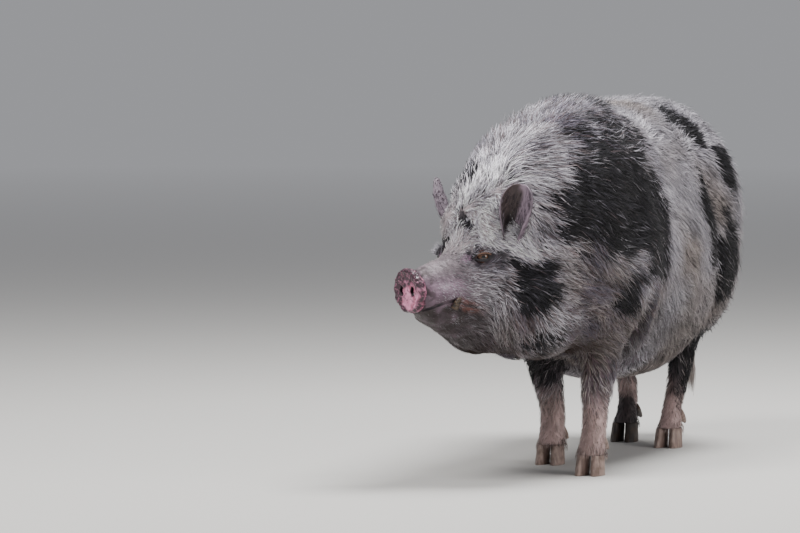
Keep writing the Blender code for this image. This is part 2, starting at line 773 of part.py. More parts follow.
def ear(side):
    """A cupped leaf, open to the front, its edges rolled in near the root."""
    rows, columns = 9, 7
    root = np.array(EAR_ROOT) + np.array([0, 0, EAR_LIFT * (side < 0)])
    lean = np.array(EAR_LEAN["left" if side > 0 else "right"])
    lean /= np.linalg.norm(lean)
    width_way = np.array([0.66, 0.75, 0.0])
    width_way -= lean * width_way.dot(lean)
    width_way /= np.linalg.norm(width_way)
    back = np.cross(width_way, lean)
    if back[1] < 0:
        back = -back
    points, faces = [], []
    for r in range(rows):
        t = r / (rows - 1)
        half = EAR_HALF_WIDTH * (0.45 + 0.75 * math.sin(t * 1.9)) * math.sqrt(max(1 - (0.985 * t) ** 4, 0.0))
        roll = math.radians(200 - 120 * t)
        for c in range(columns):
            v = 2 * c / (columns - 1) - 1
            turn = v * roll / 2
            bow = half / (roll / 2)
            across = bow * math.sin(turn)
            deep = bow * (1 - math.cos(turn))
            height = EAR_HEIGHT * (1.28 * t - 0.28)
            spot = root + lean * height + width_way * across - back * deep
            spot = spot + back * 0.010 * t * t
            points.append((side * spot[0], spot[1], spot[2]))
    for r in range(rows - 1):
        for c in range(columns - 1):
            a = r * columns + c
            faces.append((a, a + 1, a + columns + 1, a + columns))
    made = mesh_object("ear", points, faces)
    wall = made.modifiers.new("wall", "SOLIDIFY")
    wall.thickness = EAR_THICKNESS
    wall.offset = 0.0
    apply_modifiers(made)
    face_outwards(made.data)
    return turn_object(made)


def tusk(side):
    path, radii = [], []
    for t in np.linspace(0, 1, 7):
        turn = t * math.radians(75)
        path.append((side * (TUSK_AT[0] + 0.010 * math.sin(turn)),
                     TUSK_AT[1] + 0.006 * t, TUSK_AT[2] - 0.010 + TUSK_LENGTH * math.sin(turn) * 0.95))
        radii.append(TUSK_RADIUS * (1 - 0.82 * t ** 1.8))
    return turn_object(tube_along("tusk", path, radii, sides=8))


def tail_form():
    along = np.linspace(0, 1, 14)
    knots = np.linspace(0, 1, len(TAIL_PATH))
    path = np.stack([through(list(zip(knots, [p[k] for p in TAIL_PATH])), along) for k in range(3)], axis=1)
    return tube_along("tail", path, through(TAIL_RADIUS, along), sides=10)


def tail_brush():
    """Thin locks that leave the tail one after another and hang from it."""
    count, length, width, thick = TAIL_LOCK
    draw = random.Random(LOCK_SEED)
    locks = []
    foot = Vector(TAIL_PATH[-1])
    for k in range(count):
        share = k / (count - 1)
        turn = k * math.radians(137.5)
        out = Vector((math.cos(turn), math.sin(turn), 0))
        top = foot + Vector((-0.004 * (1 - share), 0.003 * (1 - share), 0.052 * (1 - share)))
        reach = top.z - TAIL_BRUSH_END - 0.010 * draw.random()
        reach = min(reach, length)
        path = [top - out * 0.001, top + out * 0.008 + Vector((0, 0, -0.35 * reach)),
                top + out * 0.011 + Vector((0, 0, -0.70 * reach)), top + out * 0.006 + Vector((0, 0, -reach))]
        widths = (0.6 * width, width, 0.6 * width)
        locks.append(blade("lock", path, widths, (thick * 1.4, thick * 1.3, thick), [out] * 3))
    return locks


# Feet


def toe(leg, inner):
    """One hoof of a cloven foot: a wedge with an upright inner wall and a sloping front."""
    foot = FEET[leg][0]
    outward = 1 if foot[0] > 0 else -1
    side = -outward if inner else outward
    rings = []
    for t in np.linspace(0, 1, 4):
        z = t * (CORONET - GAP)
        length = TOE_LENGTH * (1 - 0.22 * t)
        width = TOE_WIDTH * (1 - 0.05 * t - 0.10 * (1 - t) ** 4)
        turn = np.arange(12) * 2 * math.pi / 12
        x = 0.5 * width * np.sign(np.cos(turn)) * np.abs(np.cos(turn)) ** 0.75
        y = 0.5 * length * np.sign(np.sin(turn)) * np.abs(np.sin(turn)) ** 0.80
        x = x * (1 - 0.25 * np.clip(-y / (0.5 * length), 0, 1))
        middle = foot[1] - 0.010 + 0.16 * z
        rings.append(np.stack([foot[0] + side * TOE_SPREAD + x, middle + y, np.full(12, z)], axis=1))
    return loft("toe", rings)


def dewclaw(leg, inner):
    x, y = leg_middle(leg, DEWCLAW_HEIGHT)
    outward = 1 if FEET[leg][0][0] > 0 else -1
    side = -outward if inner else outward
    path, radii = [], []
    for t in np.linspace(0, 1, 4):
        path.append((x + side * (0.013 + 0.004 * t), y + 0.014 + 0.022 * t,
                     DEWCLAW_HEIGHT + 0.006 - 0.018 * t))
        radii.append(0.0085 * (1 - 0.62 * t * t))
    return tube_along("dewclaw", path, radii, sides=7)


# Materials and the pose


def material(name):
    colour, roughness = COLOURS[name]
    made = bpy.data.materials.new(name)
    made.use_nodes = True
    shader = made.node_tree.nodes["Principled BSDF"]
    shader.inputs["Base Color"].default_value = (*colour, 1)
    shader.inputs["Roughness"].default_value = roughness
    shader.inputs["Metallic"].default_value = 0.0
    return made


def centre(nodes):
    """Moves the pig so that the origin is under the middle of it."""
    every = np.concatenate([[v.co for v in thing.data.vertices] for thing in nodes.values()])
    middle = (every.min(0) + every.max(0)) / 2
    for thing in nodes.values():
        for vert in thing.data.vertices:
            vert.co -= Vector((middle[0], middle[1], 0))
        thing.data.update()


def main():
    clear_scene()
    body = thin_out(sink_to_core(whole_body()), BODY_TRIANGLES)
    core = copy_of(body)
    nodes = part_body(body)
    head, torso = nodes["head"], nodes["torso"]
    disc = snout_disc()
    surface = surface_of(head)
    cut_mouth(head, surface)
    for side, word in ((1, "left"), (-1, "right")):
        frame = eye_frame(side, surface)
        boolean(head, lids(frame), "UNION")
        ball = eyeball(frame)
        boolean(head, [copy_of(ball, SWELL)], "DIFFERENCE")
        nodes["eye_" + word] = ball
    pieces = {"snout": disc, "tail": boolean(tail_form(), tail_brush(), "UNION")}
    for side, word in ((1, "left"), (-1, "right")):
        pieces["ear_" + word] = ear(side)
        pieces["tusk_" + word] = tusk(side)
    for leg in FEET:
        for inner, word in ((True, "inner"), (False, "outer")):
            nodes[f"toe_{leg}_{word}"] = toe(leg, inner)
            pieces[f"dewclaw_{leg}_{word}"] = dewclaw(leg, inner)
    obstacles = [surface_of(thing) for name, thing in pieces.items() if not name.startswith("tusk")]
    for name, locks in coat_locks(core, obstacles).items():
        boolean(nodes[name], locks, "UNION")
    bpy.data.objects.remove(core)
    for name, piece in pieces.items():
        owners = {"tail": ["torso"], "ear": ["head", "neck"]}.get(name.split("_")[0], ["head"])
        if name.startswith("dewclaw"):
            owners = ["leg_" + name[8:].rsplit("_", 1)[0]]
        nodes[name] = boolean(piece, [copy_of(nodes[owner], SWELL) for owner in owners], "DIFFERENCE")
    centre(nodes)
    finishes = {"eye": "eye", "snout": "snout", "tusk": "tusk", "toe": "hoof", "dewclaw": "hoof",
                "ear": "bare_skin"}
    made = {name: material(name) for name in COLOURS}
    for name, thing in nodes.items():
        thing.name = name
        thing.data.name = name
        thing.data.materials.clear()
        thing.data.materials.append(made[finishes.get(name.split("_")[0], "coat")])


main()
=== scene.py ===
import math
from contextlib import contextmanager

import bmesh
import bpy
import numpy as np
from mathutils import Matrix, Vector
from mathutils.bvhtree import BVHTree
from mathutils.kdtree import KDTree


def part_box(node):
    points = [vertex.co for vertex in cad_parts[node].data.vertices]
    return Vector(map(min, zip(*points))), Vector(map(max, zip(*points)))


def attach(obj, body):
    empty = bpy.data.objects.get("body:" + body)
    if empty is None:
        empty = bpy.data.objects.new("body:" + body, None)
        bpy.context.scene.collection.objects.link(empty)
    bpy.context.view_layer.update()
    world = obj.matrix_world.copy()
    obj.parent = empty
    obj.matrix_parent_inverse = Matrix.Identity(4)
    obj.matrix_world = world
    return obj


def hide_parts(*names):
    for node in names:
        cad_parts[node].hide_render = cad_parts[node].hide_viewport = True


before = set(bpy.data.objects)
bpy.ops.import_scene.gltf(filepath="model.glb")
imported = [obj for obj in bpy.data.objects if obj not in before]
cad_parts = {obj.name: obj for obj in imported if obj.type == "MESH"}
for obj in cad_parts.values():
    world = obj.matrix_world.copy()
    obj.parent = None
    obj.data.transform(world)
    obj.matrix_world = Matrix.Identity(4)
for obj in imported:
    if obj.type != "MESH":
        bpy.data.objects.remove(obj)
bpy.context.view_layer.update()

# Body skin: thick grey-pink hide over a fat trunk, a short head with heavy jowls and four short legs.
# It is one surface with no seam, lofted through outlines, rounded with masses of muscle and fat, and
# bent at the neck. It lies below the hair.

# Trunk: heights of its back and belly, and its half-width, at places along the body
BACK_HEIGHT = ((-0.27, 0.470), (-0.24, 0.532), (-0.19, 0.588), (-0.12, 0.628), (0.00, 0.656),
               (0.10, 0.661), (0.22, 0.650), (0.36, 0.657), (0.48, 0.661), (0.58, 0.648),
               (0.65, 0.608), (0.70, 0.535))
BELLY_HEIGHT = ((-0.27, 0.335), (-0.24, 0.276), (-0.19, 0.236), (-0.10, 0.213), (0.00, 0.203),
                (0.12, 0.172), (0.26, 0.145), (0.38, 0.143), (0.48, 0.182), (0.58, 0.260),
                (0.70, 0.350))
TRUNK_HALF_WIDTH = ((-0.27, 0.045), (-0.24, 0.088), (-0.19, 0.130), (-0.12, 0.152), (0.00, 0.166),
                    (0.12, 0.172), (0.28, 0.182), (0.42, 0.192), (0.54, 0.199), (0.62, 0.186),
                    (0.67, 0.151), (0.70, 0.106))
TRUNK_FRONT, TRUNK_REAR, RUMP_POINT, TRUNK_RINGS = -0.27, 0.70, 0.730, 44

# Head: the same at distances behind the snout's disc, with a half-width high up and one low down
HEAD_TOP = ((0.00, 0.372), (0.03, 0.384), (0.06, 0.394), (0.085, 0.412), (0.11, 0.464),
            (0.14, 0.516), (0.18, 0.550), (0.26, 0.575))
HEAD_BOTTOM = ((0.00, 0.302), (0.015, 0.284), (0.05, 0.263), (0.08, 0.246), (0.11, 0.233),
               (0.16, 0.222), (0.26, 0.222))
HEAD_HALF_HIGH = ((0.00, 0.034), (0.05, 0.037), (0.08, 0.046), (0.105, 0.065), (0.14, 0.092),
                  (0.18, 0.104), (0.26, 0.116))
HEAD_HALF_LOW = ((0.00, 0.030), (0.05, 0.045), (0.08, 0.060), (0.11, 0.082), (0.15, 0.110),
                 (0.20, 0.132), (0.26, 0.130))
SNOUT_AT, HEAD_LENGTH, HEAD_FULLNESS, HEAD_RINGS = -0.378, 0.26, 0.92, 30

# Masses on each side, by middle and half-sizes: shoulder, ham, jowl, crown, brow, muzzle and lower lip
MASSES = (
    ((0.092, 0.045, 0.370), (0.086, 0.130, 0.180)),
    ((0.104, 0.510, 0.380), (0.090, 0.152, 0.175)),
    ((0.080, -0.180, 0.297), (0.066, 0.085, 0.083)),
    ((0.045, -0.212, 0.482), (0.045, 0.040, 0.056)),
    ((0.049, -0.248, 0.440), (0.034, 0.028, 0.048)),
    ((0.034, -0.328, 0.328), (0.019, 0.036, 0.021)),
    ((0.022, -0.332, 0.287), (0.018, 0.030, 0.013)),
)

# Legs: their middles at the foot and at the top, their half-sizes at each height, and how far back they lie
FEET = {
    "front_left": ((0.083, -0.060), (0.088, 0.015)),
    "front_right": ((-0.043, 0.110), (-0.064, 0.060)),
    "hind_left": ((0.070, 0.500), (0.100, 0.500)),
    "hind_right": ((-0.042, 0.590), (-0.085, 0.530)),
}
LEG_HALF_WIDTH = {
    "front": ((0.03, 0.028), (0.07, 0.024), (0.11, 0.0235), (0.14, 0.027), (0.18, 0.032),
              (0.22, 0.044), (0.28, 0.062), (0.36, 0.070)),
    "hind": ((0.03, 0.026), (0.07, 0.020), (0.12, 0.019), (0.17, 0.023), (0.20, 0.029),
             (0.25, 0.048), (0.32, 0.072), (0.40, 0.080)),
}
LEG_HALF_DEPTH = {
    "front": ((0.03, 0.030), (0.07, 0.026), (0.11, 0.026), (0.14, 0.031), (0.18, 0.038),
              (0.22, 0.058), (0.28, 0.084), (0.36, 0.100)),
    "hind": ((0.03, 0.029), (0.07, 0.023), (0.12, 0.025), (0.17, 0.035), (0.20, 0.043),
             (0.25, 0.072), (0.32, 0.110), (0.40, 0.135)),
}
LEG_SETBACK = {
    "front": ((0.03, 0.000), (0.06, 0.010), (0.10, 0.018), (0.15, 0.012), (0.36, 0.012)),
    "hind": ((0.03, 0.000), (0.07, 0.020), (0.12, 0.042), (0.18, 0.058), (0.25, 0.026),
             (0.40, 0.000)),
}
LEG_FOOT, LEG_TOP, LEG_RINGS, LEG_SIDES = 0.03, {"front": 0.36, "hind": 0.40}, 26, 20
STRIDE_STARTS, STRIDE_ENDS, CORONET = 0.05, 0.34, 0.036

# The turn of the neck, the depth of the coat over the skin, and how finely the skin is made
TURN_STARTS, TURN_RADIUS, TURN_ANGLE = -0.02, 0.30, math.radians(35)
COAT_DEPTH, CREST_DEPTH, CREST_HALF_WIDTH, CREST_RUN = 0.012, 0.034, 0.050, (-0.270, 0.170)
CORE_SHARE = 0.5
BODY_VOXEL, BODY_SMOOTHING = 0.0065, 14
HEAD_VOXEL, HEAD_SMOOTHING = 0.0023, 108
HEAD_REAR = -0.07                 # how far back the head is made, before it is cut
SEAM, SEAM_HALF = -0.165, 0.003   # where the head's fine skin runs on into the body's, and half the gap
SIDES = ((1, "left"), (-1, "right"))

# All sizes count from a point under the shoulders. OFFSET takes them to the frame's origin, by the
# middle of the outer toe of the left hind foot.
HIND_TOE_X, HIND_TOE_Y = 0.0848, 0.490
toe_low, toe_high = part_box("toe_hind_left_outer")
OFFSET = np.array([(toe_low.x + toe_high.x) / 2 - HIND_TOE_X, (toe_low.y + toe_high.y) / 2 - HIND_TOE_Y, 0.0])


def through(knots, at):
    """Values of a smooth curve through (place, value) knots that doesn't overshoot them."""
    place, value = np.array(knots, float).T
    at = np.clip(np.asarray(at, float), place[0], place[-1])
    step = np.diff(place)
    slope = np.diff(value) / step
    product = slope[:-1] * slope[1:]
    mean = np.where(product > 0, 2 * product / np.where(product > 0, slope[:-1] + slope[1:], 1), 0)
    tangent = np.concatenate([slope[:1], mean, slope[-1:]])
    k = np.clip(np.searchsorted(place, at) - 1, 0, len(place) - 2)
    t = (at - place[k]) / step[k]
    return (value[k] * (1 + 2 * t) * (1 - t) ** 2 + value[k + 1] * t * t * (3 - 2 * t)
            + step[k] * t * (1 - t) * (tangent[k] * (1 - t) - tangent[k + 1] * t))


def smooth_step(t):
    t = np.clip(t, 0.0, 1.0)
    return t * t * (3 - 2 * t)


def above(values, start, fade):
    """How far values have risen past a start, from 0 to 1 over a fade."""
    return smooth_step((values - start) / fade)


def below(values, end, fade):
    """How far values lie under an end, from 0 to 1 over a fade."""
    return smooth_step((end - values) / fade)


def turned(points):
    """Points of the straight pig, moved as the neck turns to the pig's right."""
    points = np.asarray(points, float)
    reach = np.maximum(TURN_STARTS - points[:, 1], 0)
    angle = np.minimum(reach / TURN_RADIUS, TURN_ANGLE)
    beyond = np.maximum(reach - TURN_RADIUS * TURN_ANGLE, 0)
    x = points[:, 0] * np.cos(angle) - TURN_RADIUS * (1 - np.cos(angle)) - beyond * np.sin(angle)
    y = np.maximum(points[:, 1], TURN_STARTS) - points[:, 0] * np.sin(angle)
    y -= TURN_RADIUS * np.sin(angle) + beyond * np.cos(angle)
    return np.stack([x, y, points[:, 2]], axis=1)


def straightened(points):
    """The reverse of turned."""
    points = np.asarray(points, float)
    x, y = points[:, 0] + TURN_RADIUS, TURN_STARTS - points[:, 1]
    angle = np.clip(np.arctan2(y, x), 0, TURN_ANGLE)
    across = x * np.cos(angle) + y * np.sin(angle) - TURN_RADIUS
    ahead = y * np.cos(angle) - x * np.sin(angle)
    return np.stack([across, TURN_STARTS - TURN_RADIUS * angle - ahead, points[:, 2]], axis=1)


def points_of(mesh, what="co"):
    flat = np.zeros(len(mesh.vertices) * 3, np.float32)
    mesh.vertices.foreach_get(what, flat)
    return flat.reshape(-1, 3).astype(float)


def normals_of(mesh):
    return points_of(mesh, "normal")


def move_points(mesh, points):
    mesh.vertices.foreach_set("co", np.asarray(points, np.float32).ravel())
    mesh.update()


def raise_surface(mesh, height):
    """Moves each point out of the surface by its own height, or in where that is negative."""
    move_points(mesh, points_of(mesh) + normals_of(mesh) * height[:, None])


def turn_object(thing):
    move_points(thing.data, turned(points_of(thing.data)))
    return thing


def linked(name, data):
    made = bpy.data.objects.new(name, data)
    bpy.context.scene.collection.objects.link(made)
    return made


def mesh_object(name, points, faces):
    mesh = bpy.data.meshes.new(name)
    mesh.from_pydata([tuple(p) for p in points], [], faces)
    return linked(name, mesh)


@contextmanager
def edited(mesh):
    """Opens a mesh for editing, and writes it back at the end."""
    work = bmesh.new()
    work.from_mesh(mesh)
    yield work
    work.to_mesh(mesh)
    work.free()


def face_outwards(mesh):
    with edited(mesh) as work:
        bmesh.ops.recalc_face_normals(work, faces=work.faces)


def loft(name, rings):
    """A closed mesh through rings of points, each end closed by a fan to its ring's middle."""
    rings = [np.asarray(ring, float) for ring in rings]
    sides = len(rings[0])
    points = np.concatenate(rings + [rings[0].mean(0)[None], rings[-1].mean(0)[None]])
    first, last = len(points) - 2, len(points) - 1
    faces = []
    for r in range(len(rings) - 1):
        for s in range(sides):
            a, b = r * sides + s, r * sides + (s + 1) % sides
            faces.append((a, b, b + sides, a + sides))
    end = (len(rings) - 1) * sides
    for s in range(sides):
        faces.append((first, (s + 1) % sides, s))
        faces.append((last, end + s, end + (s + 1) % sides))
    made = mesh_object(name, points, faces)
    face_outwards(made.data)
    return made


def circle(sides):
    """Angles evenly round a ring."""
    return np.arange(sides) * 2 * math.pi / sides


def cross_section(y, top, bottom, half_high, half_low, fullness=0.84, sides=40):
    """A ring standing across the body at y, pear-shaped where its two half-widths differ."""
    across, up = np.cos(circle(sides)), np.sin(circle(sides))
    middle = bottom + 0.46 * (top - bottom)
    half = half_low + (half_high - half_low) * (0.5 + 0.5 * up)
    x = half * np.sign(across) * np.abs(across) ** fullness
    z = middle + np.where(up > 0, top - middle, middle - bottom) * np.sign(up) * np.abs(up) ** 0.92
    return np.stack([x, np.full(sides, y), z], axis=1)


def ellipsoid(name, centre, halves, segments=24):
    mesh = bpy.data.meshes.new(name)
    with edited(mesh) as work:
        bmesh.ops.create_uvsphere(work, u_segments=segments, v_segments=segments // 2, radius=1.0)
        bmesh.ops.scale(work, vec=halves, verts=work.verts)
        bmesh.ops.translate(work, vec=centre, verts=work.verts)
    return linked(name, mesh)


def tube_along(name, path, radii, sides=12):
    """A closed round tube along a list of points, with its own radius at each."""
    path = np.asarray(path, float)
    ahead = np.gradient(path, axis=0)
    rings = []
    side = Vector((1, 0, 0)) if abs(ahead[0][0]) < 0.9 * np.linalg.norm(ahead[0]) else Vector((0, 1, 0))
    for point, along, radius in zip(path, ahead, radii):
        along = Vector(along).normalized()
        side = (side - along * side.dot(along)).normalized()
        other = along.cross(side)
        turn = circle(sides)
        rings.append(point + radius * (np.outer(np.cos(turn), side) + np.outer(np.sin(turn), other)))
    return loft(name, rings)


def apply_modifiers(thing):
    graph = bpy.context.evaluated_depsgraph_get()
    made = bpy.data.meshes.new_from_object(thing.evaluated_get(graph))
    thing.modifiers.clear()
    old, thing.data = thing.data, made
    bpy.data.meshes.remove(old)
    return thing


def in_order(mesh):
    """The same mesh, its points and faces sorted by place, so that each run gives them in one order."""
    points = points_of(mesh)
    order = np.lexsort(points.T)
    rank = np.empty(len(order), int)
    rank[order] = np.arange(len(order))
    faces = []
    for polygon in mesh.polygons:
        corners = [int(rank[k]) for k in polygon.vertices]
        start = corners.index(min(corners))
        faces.append(tuple(corners[start:] + corners[:start]))
    made = bpy.data.meshes.new(mesh.name)
    made.from_pydata([tuple(p) for p in points[order]], [], sorted(faces))
    return made


def boolean(thing, others, operation):
    """Joins or cuts with closed meshes, which are then removed."""
    group = bpy.data.collections.new("operands")
    bpy.context.scene.collection.children.link(group)
    for other in others:
        for owner in other.users_collection:
            owner.objects.unlink(other)
        group.objects.link(other)
    change = thing.modifiers.new("boolean", "BOOLEAN")
    change.operation = operation
    change.operand_type = "COLLECTION"
    change.collection = group
    change.solver = "MANIFOLD"
    bpy.context.view_layer.update()
    apply_modifiers(thing)
    thing.data = in_order(thing.data)
    for other in others:
        bpy.data.objects.remove(other)
    bpy.data.collections.remove(group)


def remeshed(thing, voxel, smoothing):
    """One even surface round all that a mesh holds, eased."""
    skin = thing.modifiers.new("skin", "REMESH")
    skin.mode = "VOXEL"
    skin.voxel_size = voxel
    ease = thing.modifiers.new("ease", "SMOOTH")
    ease.factor = 0.5
    ease.iterations = smoothing
    return apply_modifiers(thing)


def joined(things):
    mesh = bpy.data.meshes.new("joined")
    with edited(mesh) as work:
        for thing in things:
            work.from_mesh(thing.data)
            bpy.data.objects.remove(thing)
    return linked("joined", mesh)


def surface_of(mesh):
    return BVHTree.FromPolygons([v.co for v in mesh.vertices], [p.vertices[:] for p in mesh.polygons])


def trunk_form(rear):
    rings = []
    for y in np.linspace(TRUNK_FRONT, rear, TRUNK_RINGS):
        low = through(TRUNK_HALF_WIDTH, y)
        rings.append(cross_section(y, through(BACK_HEIGHT, y), through(BELLY_HEIGHT, y), low * 0.90, low))
    if rear == TRUNK_REAR:
        last = rings[-1]
        rings.append(last.mean(0) + (0, RUMP_POINT - rear, 0) + (last - last.mean(0)) * 0.55)
    return loft("trunk", rings)


def head_form():
    rings = []
    for h in np.linspace(0.0, HEAD_LENGTH, HEAD_RINGS):
        outline = [through(knots, h) for knots in (HEAD_TOP, HEAD_BOTTOM, HEAD_HALF_HIGH, HEAD_HALF_LOW)]
        rings.append(cross_section(SNOUT_AT + h, *outline, HEAD_FULLNESS))
    return loft("head_form", rings)


def leg_middle(leg, z):
    """Where the middle of a leg is at a height."""
    foot, joint = (np.array(p) for p in FEET[leg])
    share = above(z, STRIDE_STARTS, STRIDE_ENDS - STRIDE_STARTS)
    x, y = foot + (joint - foot) * share
    return x, y + through(LEG_SETBACK[leg.split("_")[0]], z) * (1 - 0.4 * share)


def leg_form(leg):
    end = leg.split("_")[0]
    turn = circle(LEG_SIDES)
    rings = []
    for z in np.linspace(LEG_FOOT, LEG_TOP[end], LEG_RINGS):
        x, y = leg_middle(leg, z)
        half_x, half_y = through(LEG_HALF_WIDTH[end], z), through(LEG_HALF_DEPTH[end], z)
        rings.append(np.stack([x + half_x * np.cos(turn), y + half_y * np.sin(turn),
                               np.full(LEG_SIDES, z)], axis=1))
    return loft(leg, rings)


def coat_depth(straight):
    """Depth of the coat at points of the straight pig: deep on the body, thin on face and feet."""
    x, y, z = straight.T
    face = above(y - SNOUT_AT, 0.06, 0.12)
    leg = above(z, 0.10, 0.14)
    depth = COAT_DEPTH * (0.22 + 0.78 * face) * (0.20 + 0.80 * leg)
    start, end = CREST_RUN
    run = above(y, start, 0.05) * below(y, end, 0.09)
    crest = run * smooth_step(1.3 - np.abs(x) / CREST_HALF_WIDTH) * (z > through(BACK_HEIGHT, y) - 0.10)
    return depth + (CREST_DEPTH - COAT_DEPTH) * crest


def flesh(rear, voxel, smoothing, legs):
    """Trunk to a rear end, head, masses and legs as one even surface that lies under the hair."""
    forms = [trunk_form(rear), head_form()]
    for centre, halves in MASSES:
        if centre[1] < rear:
            for side in (1, -1):
                forms.append(ellipsoid("mass", (side * centre[0], centre[1], centre[2]), halves))
    for form in forms:
        turn_object(form)
    body = remeshed(joined(forms + [leg_form(leg) for leg in legs]), voxel, smoothing)
    raise_surface(body.data, -CORE_SHARE * coat_depth(straightened(points_of(body.data))))
    return body


def cut_across(thing, y, way):
    """Drops what lies beyond a plane across the turned neck."""
    here, behind = turned([(0, y, 0), (0, y + 1e-4, 0)])
    with edited(thing.data) as work:
        bmesh.ops.bisect_plane(work, geom=work.verts[:] + work.edges[:] + work.faces[:], dist=1e-6,
                               plane_co=here, plane_no=way * (behind - here) / 1e-4, clear_outer=True)


def cloud(points, size, seed):
    """A smooth random field over points, mostly within -1 and 1, with features of about a size."""
    draw = np.random.default_rng(seed)
    waves = draw.normal(size=(18, 3)) * (2.6 / size)
    phase = draw.uniform(0, 2 * math.pi, 18)
    return np.sin(points @ waves.T + phase).sum(1) / 3.0


# Eye frames: the middle of each eyeball, and the ways along the lids, up and out of the head
EYE_RADIUS = 0.0135
SOCKET_GAP, SOCKET_EDGE = 0.0004, 0.0012
LID_HALF_LENGTH, LID_RISE, LID_RADIUS = 0.0190, 0.0070, 0.0028

# Lids and the folds over and under them: rise, radius, height over the ball and share of the length
FOLDS_OF_LIDS = ((LID_RISE, LID_RADIUS * 1.25, 0.0010, 1.0), (-LID_RISE, LID_RADIUS, 0.0010, 1.0),
                 (0.0152, 0.0038, 0.0006, 1.25), (-0.0146, 0.0032, 0.0, 1.15))
eyes = {}
for side, word in SIDES:
    low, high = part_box("eye_" + word)
    middle = Vector(straightened([np.array((low + high) / 2) - OFFSET])[0])
    out = Vector((side * 0.90, -0.40, 0.14)).normalized()
    along = Vector((0, 1, 0.03))
    along = (along - out * along.dot(out)).normalized()
    up = along.cross(out)
    if up.z < 0:
        up = -up
    eyes[side] = (middle, along, up, out)


def in_eye(straight, side):
    """Places of straight points in an eye's own frame: along, up and out."""
    middle, along, up, out = eyes[side]
    reach = straight - np.array(middle)
    return reach @ np.array(along), reach @ np.array(up), reach @ np.array(out)


def from_eye(straight, side):
    """Distance of straight points from the middle of an eye."""
    return np.linalg.norm(np.stack(in_eye(straight, side)), axis=0)


def lid_rolls(side):
    """Lids and the folds of skin above and below them, as tapered rolls bent over the eyeball."""
    middle, along, up, out = eyes[side]
    rolls = []
    for rise, radius, stand, spread in FOLDS_OF_LIDS:
        path, radii = [], []
        for t in np.linspace(-1, 1, 17):
            x = LID_HALF_LENGTH * spread * t
            z = rise * math.cos(t * math.pi / 2)
            depth = math.sqrt(max((EYE_RADIUS + stand) ** 2 - 0.55 * x * x - 0.8 * z * z, 1e-6))
            path.append(middle + along * x + up * z + out * depth)
            radii.append(radius * (0.35 + 0.65 * math.cos(t * math.pi / 2)))
        rolls.append(turn_object(tube_along("lid", path, radii)))
    return rolls


SLIT_RADIUS, SLIT_POINTS = 0.0030, 21


def mouth_line(side):
    """The line between the lips, from under the disc back to the corner of the mouth."""
    t = np.linspace(0, 1, SLIT_POINTS)
    return np.stack([side * (0.016 + 0.075 * t ** 0.8), SNOUT_AT + 0.002 + 0.092 * t,
                     0.3005 + 0.013 * np.sin(t * math.pi) - 0.002 * t], axis=1)


head = flesh(HEAD_REAR, HEAD_VOXEL, HEAD_SMOOTHING, [])
head_surface = surface_of(head.data)
lips = {side: np.array([head_surface.find_nearest(Vector(p))[0] for p in turned(mouth_line(side))])
        for side in (1, -1)}
boolean(head, lid_rolls(1) + lid_rolls(-1), "UNION")
slit_radii = SLIT_RADIUS * np.minimum(1, np.linspace(6, 0.5, SLIT_POINTS))
slits = [tube_along("slit", lips[side], slit_radii, 8) for side in (1, -1)]
ball_halves = (EYE_RADIUS + SOCKET_GAP,) * 3
balls = [turn_object(ellipsoid("ball", eyes[side][0], ball_halves, 32)) for side in (1, -1)]
boolean(head, slits + balls, "DIFFERENCE")


def near_line(points, line):
    """Distance of each point from a line of points."""
    tree = KDTree(len(line))
    for k, spot in enumerate(line):
        tree.insert(spot, k)
    tree.balance()
    return np.array([tree.find(p)[2] for p in points])


def soften(thing, chosen, rounds):
    with edited(thing.data) as work:
        work.verts.ensure_lookup_table()
        verts = [work.verts[int(k)] for k in chosen]
        for _ in range(rounds):
            bmesh.ops.smooth_vert(work, verts=verts, factor=0.5,
                                  use_axis_x=True, use_axis_y=True, use_axis_z=True)


points = points_of(head.data)
straight = straightened(points)
close = np.zeros(len(points), bool)
for side in (1, -1):
    away = from_eye(straight, side)
    close |= (away < 0.030) & (away > EYE_RADIUS + SOCKET_EDGE)
    close |= near_line(points, lips[side]) < 0.008
soften(head, np.nonzero(close)[0], 3)

# Wrinkles of the face: folds across the muzzle and rings about the eyes
straight = straightened(points_of(head.data))
h = straight[:, 1] - SNOUT_AT
muzzle = below(h, 0.105, 0.05)
folds = cloud(straight * (0.25, 1.0, 0.45), 0.0085, 11)
creases = cloud(straight, 0.010, 12) * 0.5 + cloud(straight, 0.005, 13) * 0.25
shift = muzzle * 0.00055 * folds + 0.00030 * creases * (0.4 + 0.6 * muzzle)
for side in (1, -1):
    a, b, c = in_eye(straight, side)
    ring = np.hypot(a / 1.35, b) + 0.0012 * cloud(straight, 0.02, 14)
    rings = np.sin(ring * 2 * math.pi / 0.0052) * above(ring, 0.0095, 0.003)
    rings *= below(ring, 0.027, 0.012) * (c > -0.012)
    shift = np.where(ring < 0.028, shift * above(ring, 0.010, 0.01) + 0.00090 * rings, shift)
shift *= np.minimum(from_eye(straight, 1), from_eye(straight, -1)) > EYE_RADIUS + SOCKET_EDGE
raise_surface(head.data, shift)

